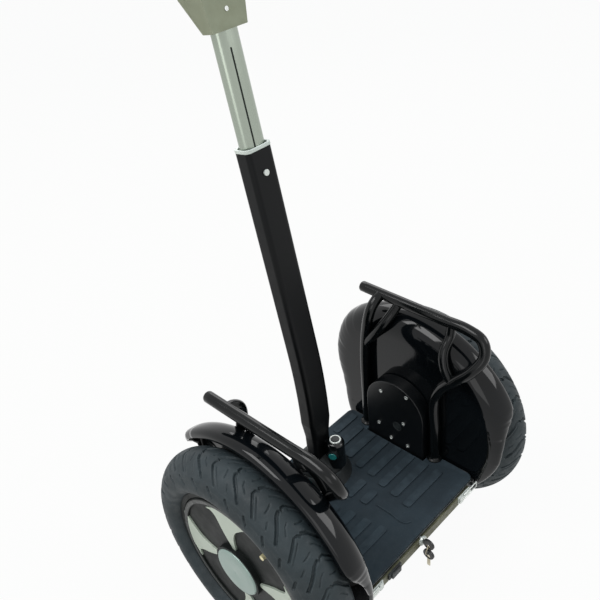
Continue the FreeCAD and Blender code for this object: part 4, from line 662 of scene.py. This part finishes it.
# The lip: its share of the outward turn and its drop, of which the plain edge keeps a part
LIP = ((0.91, 1.4), (0.97, 4.2), (1.0, 8.2), (1.0, 13.0))
PLAIN_DROP = 0.4
SHELL_THICK, SHELL_EDGE = 3.4, 0.9
AXLE_HOLE = 11


def fender(name, side):
    """One domed shell: flat beside the rider's foot, turned outward over the tyre all round."""
    table = np.array(SHELL, float).T
    even = np.linspace(SHELL[0][0], SHELL[-1][0], SHELL_STEPS)
    angles = np.unique(np.concatenate([even, table[0]]))
    ease = [np.interp(angles, table[0], row) for row in table[1:]]
    kernel = np.array(SHELL_BLUR) / sum(SHELL_BLUR)
    for row in ease:
        inner = np.convolve(row, kernel, "same")
        row[2:-2] = inner[2:-2]
    under = np.concatenate([np.linspace(*arc) for arc in FOOT_ARCS])
    angles = np.concatenate([angles, under])
    foot = [WALL_LOW / np.cos(np.radians(under)), *(np.full(len(under), v) for v in FOOT_EDGE)]
    reach, out, over, lip = (np.concatenate(pair) for pair in zip(ease, foot))
    rows = []
    for share in np.linspace(0, 1, WALL_RINGS):
        rows.append((np.zeros(len(angles)), AXLE_HOLE + (reach - over - AXLE_HOLE) * share))
    for turn in np.radians(np.linspace(*TURN_ARC)):
        rows.append((out * RIDGE_SHARE * (1 - abs(math.cos(turn)) ** FULLNESS),
                     reach - over * (1 - math.sin(turn) ** FULLNESS)))
    for x_share, drop in LIP:
        rows.append((out * x_share, reach - drop * lip - PLAIN_DROP * (1 - lip) * drop))
    x, r = (np.array(part).T for part in zip(*rows))
    a = np.radians(angles)[:, None]
    points = np.stack([(FENDER_IN + x) * side, AXLE_Y * MM + CROWN_Y - np.sin(a) * r,
                       CROWN_Z + np.cos(a) * r], -1) / MM
    faces = grid_faces(*x.shape, round_columns=False)
    if side > 0:
        faces = faces[:, ::-1]
    mesh = plain_mesh("fender_shell_" + name, points.reshape(-1, 3), faces)
    node = "fender_" + name
    shell = piece("fender_shell_" + name, shaded(mesh, math.radians(60)), GLOSS, BODY[node],
                  SLOTS[node], node)
    mod = shell.modifiers.new("thickness", "SOLIDIFY")
    mod.thickness = SHELL_THICK / MM
    mod.offset = -1
    bevelled(shell, SHELL_EDGE, 3, 50)


# ---------------------------------------------------------------- rails

RAIL_R, BRACE_R = 10.2, 9.0
# Places that the rail runs through, from its rear foot over the top to its free front end
RAIL_ROUTE = (
    (162.5, -77, 159), (162.5, -77, 240), (162.5, -77, 318), (162.5, -92, 352),
    (163, -122, 386), (171, -148, 414), (187, -160, 441), (194, -151, 467), (195, -124, 477),
    (195, -70, 477), (195, 20, 477), (195, 112, 477),
)
FRONT_LEG = (
    (162.5, 90, 159), (162.5, 90, 240), (162.5, 88, 350), (162.5, 82, 405), (162.5, 75, 438),
    (168, 71, 459), (180, 69, 471), (194, 68, 476),
)
BRACE_ROUTES = (
    ((195, -88, 474), (191, -88, 452), (172, -88, 428), (163, -96, 402), (162.5, -112, 374)),
    ((195, 26, 474), (184, 33, 456), (168, 44, 432), (162.5, 58, 410), (162.5, 84, 376)),
)
BRACE_SIDES = 20
# The flange round each foot, (radius, height) above the mat's sheet
FOOT_PLACES = ((162.5, -77), (162.5, 90))
FLANGE = ((RAIL_R - 0.5, 0.4), (15.2, 0.4), (15.2, 3.2), (12.2, 4.4), (RAIL_R - 0.5, 7.5))
FLANGE_CORNER, FLANGE_STEPS = 0.9, 48
# The mat's pads stand this far above its sheet
PAD_HIGH = 2.5
MAT_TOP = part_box("foot_mat")[1].z * MM
# The bar's ends are domed: how far out, and the angles of the dome's rings
END_DOME, END_TURNS = 0.5, (0.5, 1.0, 1.35)


def smooth_run(route, side, steps=8):
    """Places on a smooth curve through a route in mm."""
    through = [Vector((x * side, y + AXLE_Y * MM, z)) for x, y, z in route]
    held = [through[0] * 2 - through[1]] + through + [through[-1] * 2 - through[-2]]
    out = []
    for a, b, c, d in zip(held, held[1:], held[2:], held[3:]):
        span = (c - b).length
        into = ((b - a) / (b - a).length + (c - b) / span).normalized() * span
        away = ((c - b) / span + (d - c) / (d - c).length).normalized() * span
        for k in range(steps):
            t = k / steps
            out.append(b * (2 * t ** 3 - 3 * t * t + 1) + into * (t ** 3 - 2 * t * t + t)
                       + c * (3 * t * t - 2 * t ** 3) + away * (t ** 3 - t * t))
    return out + [through[-1]]


def pipe(name, places, radius, around=24):
    """A round bar with closed, softly rounded ends along places in mm."""
    ways = [(b - a).normalized() for a, b in zip(places, places[1:])]
    tangents = [ways[0]] + [(a + b).normalized() for a, b in zip(ways, ways[1:])] + [ways[-1]]
    across = tangents[0].orthogonal().normalized()
    rings = []
    for place, tangent in zip(places, tangents):
        across = (across - tangent * across.dot(tangent)).normalized()
        rings.append((place, tangent, across.copy(), radius))
    for at, sign in ((0, -1), (-1, 1)):
        place, tangent, side_way, full = rings[at]
        cap = [(place + tangent * sign * full * END_DOME * math.sin(t), tangent, side_way,
                full * math.cos(t)) for t in END_TURNS]
        rings = rings + cap if sign > 0 else cap[::-1] + rings
    points = []
    for place, tangent, side_way, full in rings:
        other = tangent.cross(side_way)
        for k in range(around):
            t = 2 * math.pi * k / around
            points.append((place + (side_way * math.cos(t) + other * math.sin(t)) * full) / MM)
    return closed_mesh(name, points, tube_faces(len(rings), around), math.radians(60))


def rail(name, side):
    """The bent rail beside the rider's leg, with its front leg, braces and feet."""
    node = "rail_" + name
    bar = pipe("rail_bar_" + name, smooth_run(RAIL_ROUTE, side), RAIL_R)
    piece("rail_bar_" + name, bar, RAIL, BODY[node], SLOTS[node], node)
    leg = pipe("rail_leg_" + name, smooth_run(FRONT_LEG, side), RAIL_R)
    piece("rail_leg_" + name, leg, RAIL, BODY[node], SLOTS[node])
    parts = [pipe("brace", smooth_run(route, side), BRACE_R, BRACE_SIDES)
             for route in BRACE_ROUTES]
    flange = rounded(FLANGE, FLANGE_CORNER)
    for x, y in FOOT_PLACES:
        place = (x * side, y + AXLE_Y * MM, MAT_TOP - PAD_HIGH)
        parts.append(upright_ring("foot", flange, place, FLANGE_STEPS))
    piece("rail_braces_" + name, joined("rail_braces_" + name, parts, math.radians(50)), RAIL,
          BODY["rail_fittings"], SLOTS["rail_fittings"], "rail_fittings")


# ---------------------------------------------------------------- keys and mat

# The keys' grips: outer and hole radius, half thickness and how far the hole is set down
BOW_R, BOW_HOLE_R, BOW_HALF, BOW_DROP = 11.2, 4.3, 2.3, 4.5
BOW_FROM_BLADE, BOW_IN = 31, 9
BOW_STEPS, BOW_EDGE = 48, 0.9
# A moulded line along the mat, behind the pole
MAT_LINE = ((0, -63), (0, -95), (0, -128), (9, -134))
LINE_DROP, LINE_R, LINE_SIDES = 1.9, 1.5, 12


def key_bow(name, node, high):
    """The moulded grip on a key's round end, open round the ring's hole."""
    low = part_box(node)[0]
    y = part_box("key")[0].y * MM + BOW_IN
    z = low.z * MM + high
    outline = ((BOW_R, 0, -BOW_HALF), (BOW_R, 0, BOW_HALF), (BOW_HOLE_R, BOW_DROP, BOW_HALF),
               (BOW_HOLE_R, BOW_DROP, -BOW_HALF))
    points = []
    for k in range(BOW_STEPS):
        t = 2 * math.pi * k / BOW_STEPS
        points += [(x / MM, (y + r * math.cos(t)) / MM, (z - drop + r * math.sin(t)) / MM)
                   for r, drop, x in outline]
    mesh = closed_mesh(name, points, grid_faces(BOW_STEPS, len(outline)), math.radians(40))
    bevelled(piece(name, mesh, BOW, BODY[node], SLOTS[node]), BOW_EDGE, 3, 40)


def mat_line():
    """The moulded line along the foot mat."""
    places = smooth_run([(x, y, MAT_TOP - LINE_DROP) for x, y in MAT_LINE], 1)
    piece("mat_line", pipe("mat_line", places, LINE_R, LINE_SIDES), MAT, BODY["foot_mat"],
          SLOTS["foot_mat"])


# ---------------------------------------------------------------- building

# The widths in mm by which the CAD pieces' edges are rounded
CASE_EDGE, LEVER_EDGE = 1.6, 0.4
EDGES = (
    ("foot_mat", 0.8), ("deck_plate", 0.8), ("rear_panel", 0.7), ("head_rear", 2.4),
    ("head_front", 2.4), ("charge_port", 0.9), ("charge_cap", 0.8), ("key", 0.3),
    ("height_bolt", 0.5), ("case_screws", 0.6), ("head_screws", 0.4), ("pole_collar", 1.0),
    ("power_button", 0.5), ("console_rings", 0.5), ("lamp_lens", 0.9), ("display_window", 0.7),
)

pole_tube()
for label, way in SIDES.items():
    tyre(label, way)
    wheel_face(label, way)
    fender(label, way)
    rail(label, way)
    soften("side_case_" + label, CASE_EDGE, 3)
    soften("latch_lever_" + label, LEVER_EDGE)
for node, width in EDGES:
    soften(node, width)
for node, thing in NODES.items():
    thing.data.materials.clear()
    thing.data.materials.append(skin_of(node))
key_bow("key_grip", "key", BOW_IN)
key_bow("spare_key_grip", "spare_key_ring", BOW_FROM_BLADE)
mat_line()

# ---------------------------------------------------------------- stage

# The floor is in metres; what is seen of it is this share of white, and the rest takes shadow
FLOOR_HALF = 9
WHITE_SHARE = 0.95
WHITE = (1, 1, 1, 1)
# The sky's light: its strength, its colours near the ground and overhead, and their heights
SKY_STRENGTH = 0.7
SKY_LOW, SKY_HIGH = (0.2, 0.21, 0.17, 1), (0.74, 0.94, 1.0, 1)
SKY_HEIGHTS = (0.05, 0.75)
# Each lamp: its name, place, target and size in metres, and its power in watts
LAMPS = (
    ("key", (-1.2, 0.6, 2.6), (0, 0, 0.2), (1.6, 1.2), 38),
    ("fill", (-2.4, -1.6, 1.2), (0, 0, 0.3), (1.4, 1.8), 11),
    ("back", (1.8, 1.8, 1.9), (0, 0, 0.4), (1.6, 1.2), 14),
    ("rear", (1.7, -2.2, 2.0), (0, 0, 0.5), (1.4, 1.4), 26),
)


def seen(tree):
    """One for what the camera sees, also in gloss or through glass, nought for scattered light."""
    path = wire(tree, "ShaderNodeLightPath")
    total = path.outputs["Is Camera Ray"]
    for name in ("Is Glossy Ray", "Is Transmission Ray"):
        either = wire(tree, "ShaderNodeMath", operation="MAXIMUM")
        tree.links.new(total, either.inputs[0])
        tree.links.new(path.outputs[name], either.inputs[1])
        total = either.outputs[0]
    return total


def mixed_out(tree, share, plain, white, out):
    """Send a plain and a white shader, mixed by a share, to an output."""
    mix = wire(tree, "ShaderNodeMixShader")
    for source, socket in ((share, 0), (plain.outputs[0], 1), (white.outputs[0], 2)):
        tree.links.new(source, mix.inputs[socket])
    tree.links.new(mix.outputs[0], tree.nodes[out].inputs[0])


def floor():
    """The pale floor, white where the camera sees it and with the object's shadow."""
    corners = [(x * FLOOR_HALF, y * FLOOR_HALF, 0) for x, y in ((-1, -1), (1, -1), (1, 1), (-1, 1))]
    mesh = plain_mesh("floor", corners, [(0, 1, 2, 3)])
    thing = bpy.data.objects.new("floor", mesh)
    bpy.context.scene.collection.objects.link(thing)
    mat = finish("floor_white", "C9C8BE", "C6C5BB", 0.9, patch=1.5, bump=0.0, spec=0.1)
    tree = mat.node_tree
    glow = wire(tree, "ShaderNodeEmission", Color=WHITE, Strength=1.0)
    share = wire(tree, "ShaderNodeMath", operation="MULTIPLY")
    share.inputs[1].default_value = WHITE_SHARE
    tree.links.new(seen(tree), share.inputs[0])
    mixed_out(tree, share.outputs[0], tree.nodes["Principled BSDF"], glow, "Material Output")
    mesh.materials.append(mat)


def lamp(name, place, target, size, power):
    """A soft rectangular lamp turned to its target."""
    data = bpy.data.lights.new(name, "AREA")
    data.shape = "RECTANGLE"
    data.size, data.size_y = size
    data.energy = power
    thing = bpy.data.objects.new(name, data)
    thing.location = place
    thing.rotation_mode = "QUATERNION"
    thing.rotation_quaternion = (Vector(target) - Vector(place)).to_track_quat("-Z", "Y")
    bpy.context.scene.collection.objects.link(thing)


def world():
    """A soft sky that lights the object, behind the white that the camera sees."""
    made = bpy.data.worlds.new("world")
    bpy.context.scene.world = made
    made.use_nodes = True
    tree = made.node_tree
    plain = tree.nodes["Background"]
    plain.inputs[1].default_value = SKY_STRENGTH
    parts = wire(tree, "ShaderNodeSeparateXYZ")
    tree.links.new(wire(tree, "ShaderNodeTexCoord").outputs["Generated"], parts.inputs[0])
    height = ranged(tree, parts.outputs[2], 0, 1, *SKY_HEIGHTS)
    tree.links.new(mixed(tree, height, SKY_LOW, SKY_HIGH), plain.inputs[0])
    white = wire(tree, "ShaderNodeBackground", Color=WHITE, Strength=1.0)
    mixed_out(tree, seen(tree), plain, white, "World Output")


floor()
for values in LAMPS:
    lamp(*values)
world()
camera()
bpy.context.scene.view_settings.view_transform = "Standard"
